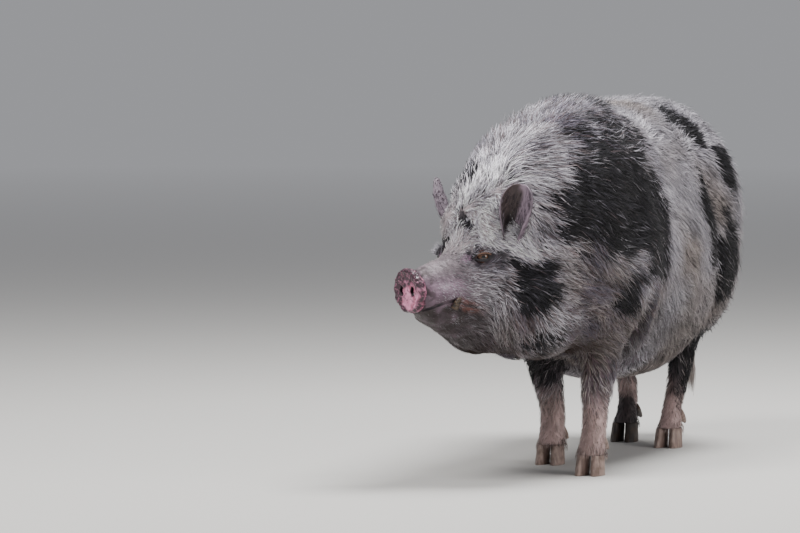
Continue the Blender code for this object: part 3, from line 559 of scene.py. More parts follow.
# Head and body are joined at the neck, and the legs end flat at the coronets
cut_across(head, SEAM - SEAM_HALF, 1)
body = flesh(TRUNK_REAR, BODY_VOXEL, BODY_SMOOTHING, list(FEET))
cut_across(body, SEAM + SEAM_HALF, -1)
skin = joined([head, body])
skin.name = skin.data.name = "skin"
with edited(skin.data) as work:
    bmesh.ops.bridge_loops(work, edges=[e for e in work.edges if e.is_boundary])
    bmesh.ops.bisect_plane(work, geom=work.verts[:] + work.edges[:] + work.faces[:], dist=1e-6,
                           plane_co=(0, 0, CORONET), plane_no=(0, 0, -1), clear_outer=True)
    bmesh.ops.holes_fill(work, edges=[e for e in work.edges if e.is_boundary], sides=0)
    bmesh.ops.recalc_face_normals(work, faces=work.faces)

# The crease in front of the ham, where the flank folds
FLANK_FOLD, FLANK_FOLD_DEPTH = ((0.30, 0.452), (0.40, 0.436), (0.50, 0.424), (0.56, 0.415)), 0.009
x, y, z = points_of(skin.data).T
depth = FLANK_FOLD_DEPTH * np.exp(-((y - through(FLANK_FOLD, z)) / 0.013) ** 2)
depth *= above(z, 0.26, 0.08) * below(z, 0.58, 0.08)
depth *= above(np.abs(x), 0.12, 0.03)
raise_surface(skin.data, -depth)

# The crease behind each elbow, where the leg meets the belly
ELBOW_FOLD, ELBOW_FOLD_DEPTH = ((0.20, 0.006), (0.26, 0.018), (0.35, 0.040)), 0.016
RIGHT_ELBOW_BACK = 0.160


def elbow_crease(straight):
    """How near points are to the creases behind the elbows, from 0 to 1."""
    x, y, z = straight.T
    fold = through(ELBOW_FOLD, z) + RIGHT_ELBOW_BACK * (x < 0)
    near = np.exp(-((y - fold) / 0.017) ** 2) * above(np.abs(x), 0.07, 0.03)
    return near * above(z, 0.19, 0.03) * below(z, 0.36, 0.08)


raise_surface(skin.data, -ELBOW_FOLD_DEPTH * elbow_crease(straightened(points_of(skin.data))))
skin_surface = surface_of(skin.data)


def linear(red, green, blue):
    """A colour given on the 0 to 255 scale of a paint chart, as linear light."""
    share = np.array((red, green, blue)) / 255.0
    return np.where(share <= 0.04045, share / 12.92, ((share + 0.055) / 1.055) ** 2.4)


# Markings, which hide and hair share: dark patches given by middle, half-sizes and depth of colour
PATCHES = (
    # saddle over the left shoulder
    ((0.14, 0.010, 0.470), (0.10, 0.125, 0.090), 1.0), ((0.12, -0.085, 0.490), (0.09, 0.100, 0.090), 0.94),
    ((0.15, 0.085, 0.455), (0.10, 0.080, 0.100), 1.0), ((0.16, 0.045, 0.400), (0.09, 0.072, 0.050), 0.95),
    ((0.154, -0.054, 0.335), (0.04, 0.036, 0.044), 0.95),
    # hump and crest
    ((0.08, 0.02, 0.580), (0.09, 0.14, 0.062), 0.70), ((0.00, 0.09, 0.655), (0.07, 0.10, 0.045), 0.66),
    # left cheek and jowl, forehead, crown and right brow
    ((0.120, -0.214, 0.357), (0.062, 0.036, 0.048), 1.0),
    ((0.125, -0.197, 0.262), (0.05, 0.026, 0.024), 0.75),
    ((-0.004, -0.276, 0.450), (0.013, 0.023, 0.018), 0.92),
    ((-0.040, -0.236, 0.518), (0.026, 0.032, 0.036), 0.55),
    ((-0.056, -0.281, 0.416), (0.020, 0.021, 0.024), 1.0),
    # left side of the rump, down to the ham
    ((0.100, 0.405, 0.618), (0.050, 0.052, 0.036), 1.0), ((0.125, 0.445, 0.592), (0.045, 0.035, 0.028), 0.9),
    ((0.155, 0.520, 0.540), (0.055, 0.040, 0.046), 0.9), ((0.160, 0.372, 0.497), (0.05, 0.024, 0.060), 1.0),
    ((0.175, 0.400, 0.405), (0.05, 0.026, 0.070), 0.95), ((0.185, 0.480, 0.370), (0.06, 0.052, 0.088), 1.0),
    # legs: left hind, right front and right hind
    ((0.10, 0.52, 0.20), (0.06, 0.09, 0.11), 0.85), ((-0.056, 0.085, 0.215), (0.06, 0.09, 0.075), 0.78),
    ((-0.045, 0.595, 0.045), (0.05, 0.06, 0.045), 0.9),
    # right side, and the back
    ((-0.13, -0.02, 0.50), (0.09, 0.11, 0.09), 1.0), ((-0.16, 0.30, 0.42), (0.08, 0.13, 0.10), 1.0),
    ((-0.11, 0.53, 0.57), (0.08, 0.09, 0.07), 1.0), ((-0.125, -0.19, 0.34), (0.05, 0.035, 0.040), 0.8),
    ((-0.17, 0.53, 0.36), (0.06, 0.07, 0.07), 0.9), ((-0.04, 0.27, 0.65), (0.06, 0.07, 0.04), 0.7),
)


def darkness(straight):
    """How dark the marking is at points of the straight pig, from 0 to 1."""
    warped = straight + 0.006 * np.stack([cloud(straight, 0.05, seed) for seed in (21, 22, 23)], axis=1)
    edge = 0.10 * cloud(straight, 0.030, 24)
    dark = np.zeros(len(straight))
    for middle, halves, depth in PATCHES:
        reach = np.linalg.norm((warped - middle) / halves, axis=1)
        dark = np.maximum(dark, depth * smooth_step((1.18 - reach + edge) / 0.38))
    return dark


def blend(base, other, share):
    """A colour, or one for each point, mixed with another by a share for each point."""
    return base + (np.asarray(other) - base) * np.clip(share, 0, 1)[:, None]


def brow_share(straight):
    """Where the pale brow is, from 0 to 1."""
    ahead, z = straight[:, 1] - SNOUT_AT, straight[:, 2]
    return below(ahead, 0.195, 0.05) * above(ahead, 0.058, 0.03) * above(z, 0.385, 0.03)


def jowl_shade_share(straight):
    """Where painted shade lies on the underside of the jowls, from 0 to 1."""
    y, z = straight[:, 1], straight[:, 2]
    return below(z, 0.250, 0.022) * above(y, -0.28, 0.05) * below(y, -0.05, 0.05)


def throat_shade_share(straight, top, fade, rear_fade):
    """Where painted shadow lies on the throat under the jowls, from 0 to 1."""
    y, z = straight[:, 1], straight[:, 2]
    return below(z, top, fade) * above(y, -0.30, 0.05) * below(y, -0.02, rear_fade) * above(z, 0.16, 0.03)


def chin_share(straight, reach, reach_fade, lip, lip_fade):
    """Where the dark chin is, under the bowed line of the mouth, from 0 to 1."""
    ahead, z = straight[:, 1] - SNOUT_AT, straight[:, 2]
    return below(ahead, reach, reach_fade) * below(z, lip + 0.16 * ahead * (0.1 - ahead) / 0.05, lip_fade)


def eye_ring_share(straight, side, fade):
    """Where the dark ring about an eye is, from 0 to 1."""
    a, b, c = in_eye(straight, side)
    ring = np.hypot(a / 1.6, b - 0.001) + 0.003 * cloud(straight, 0.012, 35)
    return below(ring, 0.0225, fade) * (c > -0.025)


# The first colour is the hide's lilac grey-pink, darkened as painted shade so that skin seen between the
# hairs reads as shadow
HIDE, MUZZLE_LILAC, BRIDGE = linear(100, 84, 94), linear(112, 92, 106), linear(108, 97, 103)
DARK_HIDE, LEG_HIDE, BROW_HIDE = linear(50, 46, 50), linear(176, 150, 146), linear(168, 156, 158)
# The first colour below is a reddish-brown painted shadow, for the throat and the underside of the jowls
UNDER_JOWL_SHADE, LIP_RED, CHIN_DARK = linear(60, 40, 30), linear(104, 60, 50), linear(44, 34, 34)
EYE_RING, EYE_LILAC, LASH_TAN = linear(52, 44, 54), linear(150, 116, 142), linear(176, 126, 100)
DARKEST = 0.004


def hide_colour(straight, points):
    """The colour of the hide at points, given both straight and in place, with painted shade on the throat,
    under the jowls and in the groove of the mouth.
    """
    x, y, z = straight.T
    ahead = y - SNOUT_AT
    colour = blend(HIDE, LEG_HIDE, 0.9 * below(z, 0.16, 0.06) * (y > -0.2))
    colour = blend(colour, BRIDGE, below(ahead, 0.16, 0.05))
    colour = blend(colour, MUZZLE_LILAC, below(ahead, 0.095, 0.03) * below(z, 0.375, 0.03))
    colour *= 1 + 0.10 * cloud(straight, 0.03, 31)[:, None] + 0.06 * cloud(straight, 0.008, 32)[:, None]
    dark = darkness(straight)
    colour = blend(colour, DARK_HIDE, dark)
    # reddish-brown painted shadow on the throat and under the jowls
    colour = blend(colour, UNDER_JOWL_SHADE, 0.85 * throat_shade_share(straight, 0.262, 0.03, 0.05))
    colour = blend(colour, UNDER_JOWL_SHADE, 0.9 * jowl_shade_share(straight))
    colour = blend(colour, BROW_HIDE, 0.8 * brow_share(straight) * (1 - dark))
    under_lip = below(ahead, 0.110, 0.03) * below(z, 0.335, 0.035)
    colour = blend(colour, CHIN_DARK, 0.50 * under_lip * (0.8 + 0.4 * cloud(straight, 0.012, 33)))
    chin = chin_share(straight, 0.118, 0.035, 0.3045, 0.007)
    colour = blend(colour, CHIN_DARK, chin * (0.85 + 0.15 * cloud(straight, 0.012, 33)))
    mottled = above(cloud(straight, 0.007, 34), 0.1, 0.5) * below(ahead, 0.030, 0.02)
    colour = blend(colour, CHIN_DARK, 0.7 * mottled)
    for side in (1, -1):
        lip = near_line(points, lips[side])
        rear = above(ahead, 0.050, 0.02) * below(ahead, 0.105, 0.02)
        colour = blend(colour, LIP_RED, (0.15 + 0.55 * rear) * below(lip, 0.006 + 0.008 * rear, 0.007))
        # painted shade: a dark line along the groove between the lips
        colour = blend(colour, DARK_HIDE * 0.7, below(lip, 0.0040, 0.0020))
        colour = blend(colour, EYE_RING, 0.92 * eye_ring_share(straight, side, 0.009))
        a, b, c = in_eye(straight, side)
        inner_corner = below(np.hypot(a + 0.029, b), 0.011, 0.007) * (c > -0.015)
        colour = blend(colour, EYE_LILAC, 0.70 * inner_corner)
        colour = blend(colour, DARK_HIDE * 0.6, below(np.hypot(a / 1.9, b), 0.0105, 0.0025) * (c > -0.01))
        lid_edge = LID_RISE * np.cos(np.clip(a / LID_HALF_LENGTH, -1, 1) * math.pi / 2) - 0.0010
        lash_line = below(np.abs(b - lid_edge), 0.0016, 0.001) * (np.abs(a) < 0.012) * (c > 0)
        colour = blend(colour, LASH_TAN, 0.55 * lash_line)
    return np.clip(colour, DARKEST, 1)


def paint(mesh, name, colour):
    """Stores a colour at each vertex."""
    layer = mesh.color_attributes.new(name, "FLOAT_COLOR", "POINT")
    opaque = np.column_stack([colour, np.ones(len(colour))])
    layer.data.foreach_set("color", opaque.astype(np.float32).ravel())


def smooth_shaded(mesh):
    mesh.polygons.foreach_set("use_smooth", np.ones(len(mesh.polygons), bool))
    mesh.update()


def nodes_for(name):
    """A new material, its node tree and its Principled shader."""
    made = bpy.data.materials.new(name)
    made.use_nodes = True
    return made, made.node_tree, made.node_tree.nodes["Principled BSDF"]


def add(tree, kind, **values):
    """A new node, with its properties or, where it has none of that name, its inputs set."""
    node = tree.nodes.new(kind)
    for key, value in values.items():
        if key in node.bl_rna.properties:
            setattr(node, key, value)
        else:
            node.inputs[key.replace("_", " ")].default_value = value
    return node


def texture(tree, kind, vector, **values):
    node = add(tree, kind, **values)
    tree.links.new(vector, node.inputs["Vector"])
    return node


def own_place(tree):
    return add(tree, "ShaderNodeTexCoord").outputs["Object"]


def noise(tree, place, scale, detail):
    return texture(tree, "ShaderNodeTexNoise", place, Scale=scale, Detail=detail).outputs["Fac"]


def ramp(tree, source, stops):
    """A colour ramp: (place, grey or colour) stops."""
    node = tree.nodes.new("ShaderNodeValToRGB")
    while len(node.color_ramp.elements) < len(stops):
        node.color_ramp.elements.new(0.5)
    for element, (place, colour) in zip(node.color_ramp.elements, stops):
        element.position = place
        element.color = (*([colour] * 3 if np.isscalar(colour) else colour), 1)
    tree.links.new(source, node.inputs["Fac"])
    return node.outputs["Color"]


def mixed(tree, first, second, share, way="MIX"):
    """First mixed with second; each may be a socket or a colour, and the share a socket or a number."""
    node = add(tree, "ShaderNodeMix", data_type="RGBA", blend_type=way)
    for socket, value in ((node.inputs[6], first), (node.inputs[7], second), (node.inputs[0], share)):
        if isinstance(value, bpy.types.NodeSocket):
            tree.links.new(value, socket)
        else:
            socket.default_value = value if np.isscalar(value) else (*value, 1)
    return node.outputs[2]


def surfaced(tree, shader, colour, roughness, layers, specular=0.5):
    """Gives a shader its colour, roughness, shine and bumps: (height, distance) pairs."""
    tree.links.new(colour, shader.inputs["Base Color"])
    tree.links.new(roughness, shader.inputs["Roughness"])
    shader.inputs["Specular IOR Level"].default_value = specular
    normal = None
    for height, distance in layers:
        node = add(tree, "ShaderNodeBump", Strength=1.0, Distance=distance)
        tree.links.new(height, node.inputs["Height"])
        if normal is not None:
            tree.links.new(normal, node.inputs["Normal"])
        normal = node.outputs["Normal"]
    tree.links.new(normal, shader.inputs["Normal"])


def hide_material(name, rough_low, rough_high, grain):
    """Bare hide: painted colour broken by blotches and pores, with a leathery grain."""
    made, tree, shader = nodes_for(name)
    place = own_place(tree)
    painted = add(tree, "ShaderNodeAttribute", attribute_name="hide").outputs["Color"]
    blotch = noise(tree, place, 70.0, 5.0)
    pores = texture(tree, "ShaderNodeTexVoronoi", place, Scale=520.0).outputs["Distance"]
    cells = texture(tree, "ShaderNodeTexVoronoi", place, Scale=230.0).outputs["Distance"]
    colour = mixed(tree, painted, ramp(tree, blotch, ((0.3, 0.55), (0.7, 1.25))), 0.55, "MULTIPLY")
    colour = mixed(tree, colour, ramp(tree, pores, ((0.0, 0.6), (0.35, 1.0))), 0.45, "MULTIPLY")
    surfaced(tree, shader, colour, ramp(tree, blotch, ((0.3, rough_low), (0.7, rough_high))),
             ((cells, grain), (pores, 0.4 * grain), (blotch, 1.2 * grain)), 0.4)
    return made


def finish_piece(thing, material, slot, *replaced):
    """Puts a finished piece in its place in the row frame, gives it its material and smooth shading, hangs it
    from the root, and hides the parts it replaces.
    """
    move_points(thing.data, points_of(thing.data) + OFFSET)
    thing.data.materials.clear()
    thing.data.materials.append(material)
    smooth_shaded(thing.data)
    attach(thing, "root")
    if replaced:
        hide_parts(*replaced)


skin_points = points_of(skin.data)
paint(skin.data, "hide", hide_colour(straightened(skin_points), skin_points))
hide = hide_material("grey_pink_hide", 0.42, 0.68, 0.0006)
finish_piece(skin, hide, "coat", "head", "neck", "torso", *["leg_" + leg for leg in FEET])

# Snout: a round disc of bare gristly skin with two nostrils, moist, pink at its middle and mottled
# dark on its rim. It ends the muzzle and is one with its skin.
DISC_HALF_WIDTH, DISC_HALF_HEIGHT, DISC_DEPTH, DISC_HEIGHT = 0.039, 0.039, 0.016, 0.336
DISC_PROFILE = ((0.62, 0.9), (0.78, 0.25), (0.92, -0.02), (0.985, -0.25), (1.0, -0.50), (0.985, -0.76),
                (0.94, -0.95), (0.87, -1.02), (0.78, -0.98), (0.62, -0.92), (0.40, -0.92), (0.18, -0.94))
DISC_SIDES, DISC_VOXEL, DISC_SMOOTHING = 40, 0.0011, 5
NOSTRIL_OUT, NOSTRIL_HALVES = 0.0155, (0.0042, 0.013, 0.0085)
SNOUT_PINK, SNOUT_ROSE, SNOUT_DARK = linear(226, 150, 182), linear(170, 98, 122), linear(60, 40, 50)
turn = circle(DISC_SIDES)
rings = []
for share, depth in DISC_PROFILE:
    x = DISC_HALF_WIDTH * share * np.sign(np.cos(turn)) * np.abs(np.cos(turn)) ** 0.92
    z = DISC_HALF_HEIGHT * share * np.sin(turn)
    rings.append(np.stack([x, SNOUT_AT + depth * DISC_DEPTH - 0.10 * z, DISC_HEIGHT + z], axis=1))
snout = loft("snout_disc", rings)
nostrils = []
for side in (1, -1):
    middle = (side * NOSTRIL_OUT, SNOUT_AT - DISC_DEPTH, DISC_HEIGHT + 0.001)
    nostrils.append(ellipsoid("nostril", middle, NOSTRIL_HALVES))
boolean(snout, nostrils, "DIFFERENCE")
remeshed(snout, DISC_VOXEL, DISC_SMOOTHING)

flat = points_of(snout.data)
rim = np.hypot(flat[:, 0] / DISC_HALF_WIDTH, (flat[:, 2] - DISC_HEIGHT) / DISC_HALF_HEIGHT)
shift = 0.00035 * cloud(flat, 0.006, 41) + 0.00022 * cloud(flat, 0.0028, 42)
shift += 0.0006 * cloud(flat * (1, 0.3, 1), 0.009, 43) * above(rim, 0.75, 0.2)
raise_surface(snout.data, shift)

# Its colour: pink at the middle, rose between, dark at the rim and in spots, and painted shade in the
# nostrils
rosy = np.hypot((flat[:, 0] - 0.010) / 0.026, (flat[:, 2] - DISC_HEIGHT + 0.011) / 0.024)
dark = smooth_step((rosy - 0.72 + 0.20 * cloud(flat, 0.010, 44)) / 0.55)
dark = np.maximum(dark, 0.6 * above(cloud(flat, 0.0045, 45), 0.85, 0.3))
dark = np.maximum(dark, 0.8 * above(rim, 0.84, 0.10) * (0.8 + 0.3 * cloud(flat, 0.005, 48)))
pink_flecks = 0.30 * above(cloud(flat, 0.0035, 47), 0.3, 0.8)
colour = blend(SNOUT_PINK, SNOUT_ROSE, 0.5 + 0.5 * cloud(flat, 0.012, 46))
colour = blend(colour, SNOUT_DARK, dark * (1 - pink_flecks))
# painted shade deep in each nostril
for side in (1, -1):
    hole = (flat - (side * NOSTRIL_OUT, SNOUT_AT - DISC_DEPTH, DISC_HEIGHT)) / (0.0050, 0.013, 0.0095)
    colour = blend(colour, SNOUT_DARK * 0.5, below(np.linalg.norm(hole, axis=1), 1.12, 0.2))
turn_object(snout)
paint(snout.data, "hide", colour)
finish_piece(snout, hide_material("moist_snout", 0.22, 0.48, 0.0004), "snout", "snout")

# Ears: thin upright leaves of gristle and skin, cupped to the front, nearly bare and dark inside. Each
# grows from the skin at the side of the crown, its edges rolled in near the root.
EAR_ROOT = (0.082, -0.224, 0.430)
EAR_HEIGHT, EAR_HALF_WIDTH, EAR_THICKNESS, EAR_LIFT = 0.093, 0.036, 0.0036, 0.010
EAR_LEAN = {1: (0.36, -0.10, 1.0), -1: (0.60, -0.22, 1.0)}
EAR_ROWS, EAR_COLUMNS = 40, 37
EAR_ARC_STEPS = 180
EAR_RIM, EAR_CUP = linear(128, 112, 125), linear(72, 60, 60)
# The second colour on the next line is painted shade deep in the ear's cup
EAR_BACK, EAR_CUP_SHADE = linear(118, 106, 116), linear(32, 24, 22)


def ear_leaf(side):
    """An ear, its colour at each point, and which of its points lie inside its cup."""
    root = np.array(EAR_ROOT) + np.array([0, 0, EAR_LIFT * (side < 0)])
    lean = np.array(EAR_LEAN[side])
    lean /= np.linalg.norm(lean)
    width_way = np.array([0.66, 0.75, 0.0])
    width_way -= lean * width_way.dot(lean)
    width_way /= np.linalg.norm(width_way)
    back = np.cross(width_way, lean)
    if back[1] < 0:
        back = -back
    points, faces, cup = [], [], []
    for r in range(EAR_ROWS):
        t = r / (EAR_ROWS - 1)
        half = EAR_HALF_WIDTH * (0.45 + 0.75 * math.sin(t * 1.9)) * math.sqrt(max(1 - (0.985 * t) ** 6, 0.0))
        if side < 0:
            half *= 0.86 - 0.28 * t
        roll = math.radians(208 - 100 * t)
        fine = np.linspace(-1, 1, EAR_ARC_STEPS + 1)
        curl = 1.7 * above(fine, 0.45, 0.5) * (1 - 0.75 * t)
        curl += 0.5 * above(-fine, 0.7, 0.3) * (1 - t)
        angle = fine * roll / 2 + np.sign(fine) * curl
        step = half * 2 / EAR_ARC_STEPS
        arc_x, arc_y = np.cumsum(np.cos(angle)) * step, np.cumsum(np.sin(angle)) * step
        arc_x, arc_y = arc_x - arc_x[EAR_ARC_STEPS // 2], arc_y - arc_y[EAR_ARC_STEPS // 2]
        for c in range(EAR_COLUMNS):
            v = 2 * c / (EAR_COLUMNS - 1) - 1
            across, deep = np.interp(v, fine, arc_x), np.interp(v, fine, arc_y)
            ridge = 0.0022 * math.sin(v * 7.0 + 2.4 * t) * math.sin(min(t * 1.6, 1) * math.pi) * (1 - v * v)
            height = EAR_HEIGHT * (1.28 * t - 0.28)
            spot = root + lean * height + width_way * across - back * (deep + ridge) + back * 0.010 * t * t
            points.append((side * spot[0], spot[1], spot[2]))
            cup.append((t, v))
    for r in range(EAR_ROWS - 1):
        for c in range(EAR_COLUMNS - 1):
            a = r * EAR_COLUMNS + c
            faces.append((a, a + 1, a + EAR_COLUMNS + 1, a + EAR_COLUMNS))
    made = mesh_object("ear", points, faces)
    wall = made.modifiers.new("wall", "SOLIDIFY")
    wall.thickness = EAR_THICKNESS * 0.85
    wall.offset = 0.0
    ease = made.modifiers.new("ease", "SMOOTH")
    ease.iterations = 3
    apply_modifiers(made)
    face_outwards(made.data)
    count = len(points)
    inward = np.array([side * -back[0], -back[1], -back[2]])
    sheet = np.array(points)
    both = points_of(made.data)
    which = np.concatenate([np.arange(count)] * 2)[:len(both)]
    inside = ((both - sheet[which]) @ inward) > 0
    t, v = np.array(cup)[which].T
    edge = np.maximum(above(np.abs(v), 0.80, 0.16), above(t, 0.86, 0.10))
    cup_colour = blend(EAR_CUP, EAR_RIM, 0.95 * smooth_step((v - 0.14 + 0.50 * (1 - t)) / 0.22))
    # painted shade deep in the lower cup
    cup_colour = blend(cup_colour, EAR_CUP_SHADE, below(t, 0.66, 0.30) * below(v, 0.10, 0.3))
    cup_colour = blend(cup_colour, EAR_RIM, 0.75 * edge * above(v, -0.3, 0.5))
    colour = np.where(inside[:, None], cup_colour, EAR_BACK)
    colour *= 1 + 0.10 * cloud(both, 0.014, 51)[:, None] + 0.03 * cloud(both, 0.004, 52)[:, None]
    return made, colour, inside


ear_skin = hide_material("thin_ear_skin", 0.45, 0.70, 0.0004)
ears = {}
for side, word in SIDES:
    ear, colour, inside = ear_leaf(side)
    turn_object(ear)
    ear.name = ear.data.name = "ear_skin_" + word
    paint(ear.data, "hide", np.clip(colour, DARKEST, 1))
    ears[side] = (points_of(ear.data), normals_of(ear.data), inside)
    finish_piece(ear, ear_skin, "bare_skin", "ear_" + word)

# Eyes: small, deep set, amber brown, with a dark round pupil behind a wet clear front. Each ball sits
# in its socket behind the lids.
EYE_SIDES, EYE_RINGS = 48, 40


def eyeball(side):
    """A ball whose pole looks out of the head, with each point's distance from its axis."""
    middle, along, up, out = (np.array(v) for v in eyes[side])
    look = out + 0.10 * np.array((0, -1, 0)) - 0.12 * np.array((0, 0, 1))
    look /= np.linalg.norm(look)
    first = np.cross(look, (0, 0, 1))
    first /= np.linalg.norm(first)
    second = np.cross(look, first)
    rings = []
    for tilt in np.linspace(0.02, math.pi - 0.02, EYE_RINGS):
        turn = circle(EYE_SIDES)
        swell = 1 + 0.06 * below(tilt, 0.62, 0.25)
        ring = np.outer(np.cos(turn), first) + np.outer(np.sin(turn), second)
        rings.append(middle + EYE_RADIUS * 0.985 * swell * (math.sin(tilt) * ring + math.cos(tilt) * look))
    ball = loft("eye", rings)
    reach = points_of(ball.data) - middle
    facing = reach @ look > 0
    away = np.hypot(reach @ first, reach @ second) / EYE_RADIUS
    return turn_object(ball), np.where(facing, away, 2 - away)


eye_made, tree, shader = nodes_for("wet_eye")
away = add(tree, "ShaderNodeAttribute", attribute_name="from_axis").outputs["Fac"]
streaks = noise(tree, own_place(tree), 900.0, 4.0)
iris = ramp(tree, away, ((0.0, (0.004, 0.003, 0.003)), (0.22, (0.006, 0.004, 0.003)),
                         (0.29, linear(84, 54, 36)), (0.50, linear(112, 82, 62)), (0.64, linear(92, 60, 44)),
                         (0.71, linear(38, 26, 25)), (0.92, linear(116, 82, 76))))
iris = mixed(tree, iris, ramp(tree, streaks, ((0.3, 0.55), (0.7, 1.3))), 0.8, "MULTIPLY")
wet = ramp(tree, streaks, ((0.2, 0.03), (0.8, 0.09)))
surfaced(tree, shader, iris, wet, ((streaks, 0.00003),), 0.6)
shader.inputs["Coat Weight"].default_value = 0.8
shader.inputs["Coat Roughness"].default_value = 0.03
for side, word in SIDES:
    ball, away = eyeball(side)
    ball.name = ball.data.name = "eyeball_" + word
    layer = ball.data.attributes.new("from_axis", "FLOAT", "POINT")
    layer.data.foreach_set("value", away.astype(np.float32))
    finish_piece(ball, eye_made, "eye", "eye_" + word)

# Tusks: short curved teeth of ivory, stained dark brown, that grow from the upper jaw and lift the
# lip at each side of the mouth.
TUSK_AT, TUSK_LENGTH, TUSK_RADIUS = (0.047, -0.325, 0.316), 0.021, 0.0064
TUSK_BEND, TUSK_POINTS, TUSK_SIDES = math.radians(75), 28, 20
tusk_made, tree, shader = nodes_for("stained_ivory")
place = own_place(tree)
stain, lines = noise(tree, place, 210.0, 5.0), noise(tree, place, 900.0, 3.0)
colour = ramp(tree, stain, ((0.30, linear(20, 15, 13)), (0.46, linear(42, 32, 25)),
                            (0.60, linear(84, 68, 52)), (0.72, linear(32, 24, 19))))
surfaced(tree, shader, colour, ramp(tree, stain, ((0.3, 0.50), (0.7, 0.28))),
         ((stain, 0.0004), (lines, 0.0001)))
for side, word in SIDES:
    path, radii = [], []
    for t in np.linspace(0, 1, TUSK_POINTS):
        bend = t * TUSK_BEND
        path.append((side * (TUSK_AT[0] + 0.010 * math.sin(bend)),
                     TUSK_AT[1] + 0.006 * t, TUSK_AT[2] - 0.010 + TUSK_LENGTH * math.sin(bend) * 0.95))
        radii.append(TUSK_RADIUS * (1 - 0.82 * t ** 1.8) * (1 + 0.05 * math.sin(t * 34)))
    tusk = turn_object(tube_along("tusk_tooth_" + word, path, radii, TUSK_SIDES))
    finish_piece(tusk, tusk_made, "tusk", "tusk_" + word)

# Hooves: two wedge-shaped toes of dark horn on each foot, and two small dewclaws behind and above
# them. Each grows out of the skin at the coronet and wears flat on the ground.
TOE_LENGTH, TOE_WIDTH, TOE_SPREAD, TOE_SIDES = 0.054, 0.026, 0.0148, 36
TOE_LEVELS = (0.0, 0.0, 0.02, 0.06, 0.14, 0.26, 0.40, 0.56, 0.72, 0.86, 0.94, 0.985, 1.0)
CORONET_GAP = 0.0003
DEWCLAW_HEIGHT, DEWCLAW_LENGTH, DEWCLAW_RADIUS, DEWCLAW_SIDES = 0.056, 0.028, 0.0085, 18
MUD = linear(84, 68, 56)
horns = {}
for word, dark, middle, light in (("pale_horn", (112, 92, 84), (140, 119, 110), (166, 147, 137)),
                                  ("dark_horn", (38, 31, 29), (56, 47, 43), (84, 71, 65))):
    horns[word], tree, shader = nodes_for(word)
    place = own_place(tree)
    stretch = add(tree, "ShaderNodeMapping")
    stretch.inputs["Scale"].default_value = (1.0, 1.0, 0.12)
    tree.links.new(place, stretch.inputs["Vector"])
    grain = noise(tree, stretch.outputs["Vector"], 170.0, 3.0)
    mud = noise(tree, place, 60.0, 5.0)
    colour = ramp(tree, grain, ((0.3, linear(*dark)), (0.5, linear(*middle)), (0.75, linear(*light))))
    colour = mixed(tree, colour, MUD, ramp(tree, mud, ((0.50, 0.0), (0.72, 0.7))))
    surfaced(tree, shader, colour, ramp(tree, mud, ((0.3, 0.42), (0.7, 0.80))),
             ((grain, 0.0003), (mud, 0.0005)))


def toe_ring(foot, side, t, ease):
    """A ring of a toe at a share of its height, wedge-shaped to the front and eased at its ends."""
    turn = circle(TOE_SIDES)
    z = t * (CORONET - CORONET_GAP)
    length = TOE_LENGTH * (1 - 0.28 * t)
    width = TOE_WIDTH * (0.95 - 0.09 * t * t - 0.05 * (1 - t) ** 3)
    x = 0.5 * width * ease * np.sign(np.cos(turn)) * np.abs(np.cos(turn)) ** 0.95
    y = 0.5 * length * ease * np.sign(np.sin(turn)) * np.abs(np.sin(turn)) ** 0.90
    x = x * (1 - 0.46 * np.clip(-y / (0.5 * length), 0, 1) ** 1.5)
    growth = 1 + 0.012 * math.sin(t * 30)
    return np.stack([foot[0] + side * TOE_SPREAD * (0.98 - 0.12 * t) + x * growth,
                     foot[1] - 0.010 + 0.20 * z + y * growth, np.full(TOE_SIDES, z)], axis=1)


for leg, (foot, _) in FEET.items():
    horn = horns["dark_horn" if leg == "hind_right" else "pale_horn"]
    outward = 1 if foot[0] > 0 else -1
    for side, word in ((-outward, "inner"), (outward, "outer")):
        rings = [toe_ring(foot, side, TOE_LEVELS[0], 0.93)]
        for t in TOE_LEVELS[1:]:
            rings.append(toe_ring(foot, side, t, 1.0 if t < 0.95 else (0.97 if t < 1 else 0.90)))
        toe = loft(f"hoof_{leg}_{word}", rings)
        finish_piece(toe, horn, "hoof", f"toe_{leg}_{word}")
        x, y = leg_middle(leg, DEWCLAW_HEIGHT)
        path, radii = [], []
        for t in np.linspace(0, 1, 12):
            path.append((x + side * (0.013 + 0.004 * t), y + 0.008 + DEWCLAW_LENGTH * t,
                         DEWCLAW_HEIGHT + 0.008 - 0.020 * t))
            radii.append(DEWCLAW_RADIUS * (1 - 0.62 * t * t))
        claw = tube_along(f"claw_{leg}_{word}", path, radii, DEWCLAW_SIDES)
        finish_piece(claw, horn, "hoof", f"dewclaw_{leg}_{word}")

# Tail: a thin straight tail of skin that hangs behind the hams and ends in a brush of pale bristles.
# It grows from the rump under the end of the back.
TAIL_PATH = ((0.0, 0.680, 0.490), (0.006, 0.734, 0.455), (0.016, 0.755, 0.360),
             (0.028, 0.750, 0.250), (0.036, 0.744, 0.150))
TAIL_RADIUS = ((0.0, 0.021), (0.25, 0.015), (0.6, 0.010), (1.0, 0.0055))
TAIL_SIDES, TAIL_POINTS, TAIL_BRUSH_END = 24, 60, 0.075


def tail_middle(share):
    knots = np.linspace(0, 1, len(TAIL_PATH))
    return np.stack([through(list(zip(knots, [p[k] for p in TAIL_PATH])), share) for k in range(3)], axis=-1)


along = np.linspace(0, 1, TAIL_POINTS)
radii = through(TAIL_RADIUS, along) * (1 + 0.03 * np.sin(along * 90))
tail = tube_along("tail_skin", tail_middle(along), radii, TAIL_SIDES)
mottle = 1 + 0.1 * cloud(points_of(tail.data), 0.02, 61)
paint(tail.data, "hide", np.clip(HIDE * mottle[:, None], 0, 1))
finish_piece(tail, hide, "coat", "tail")

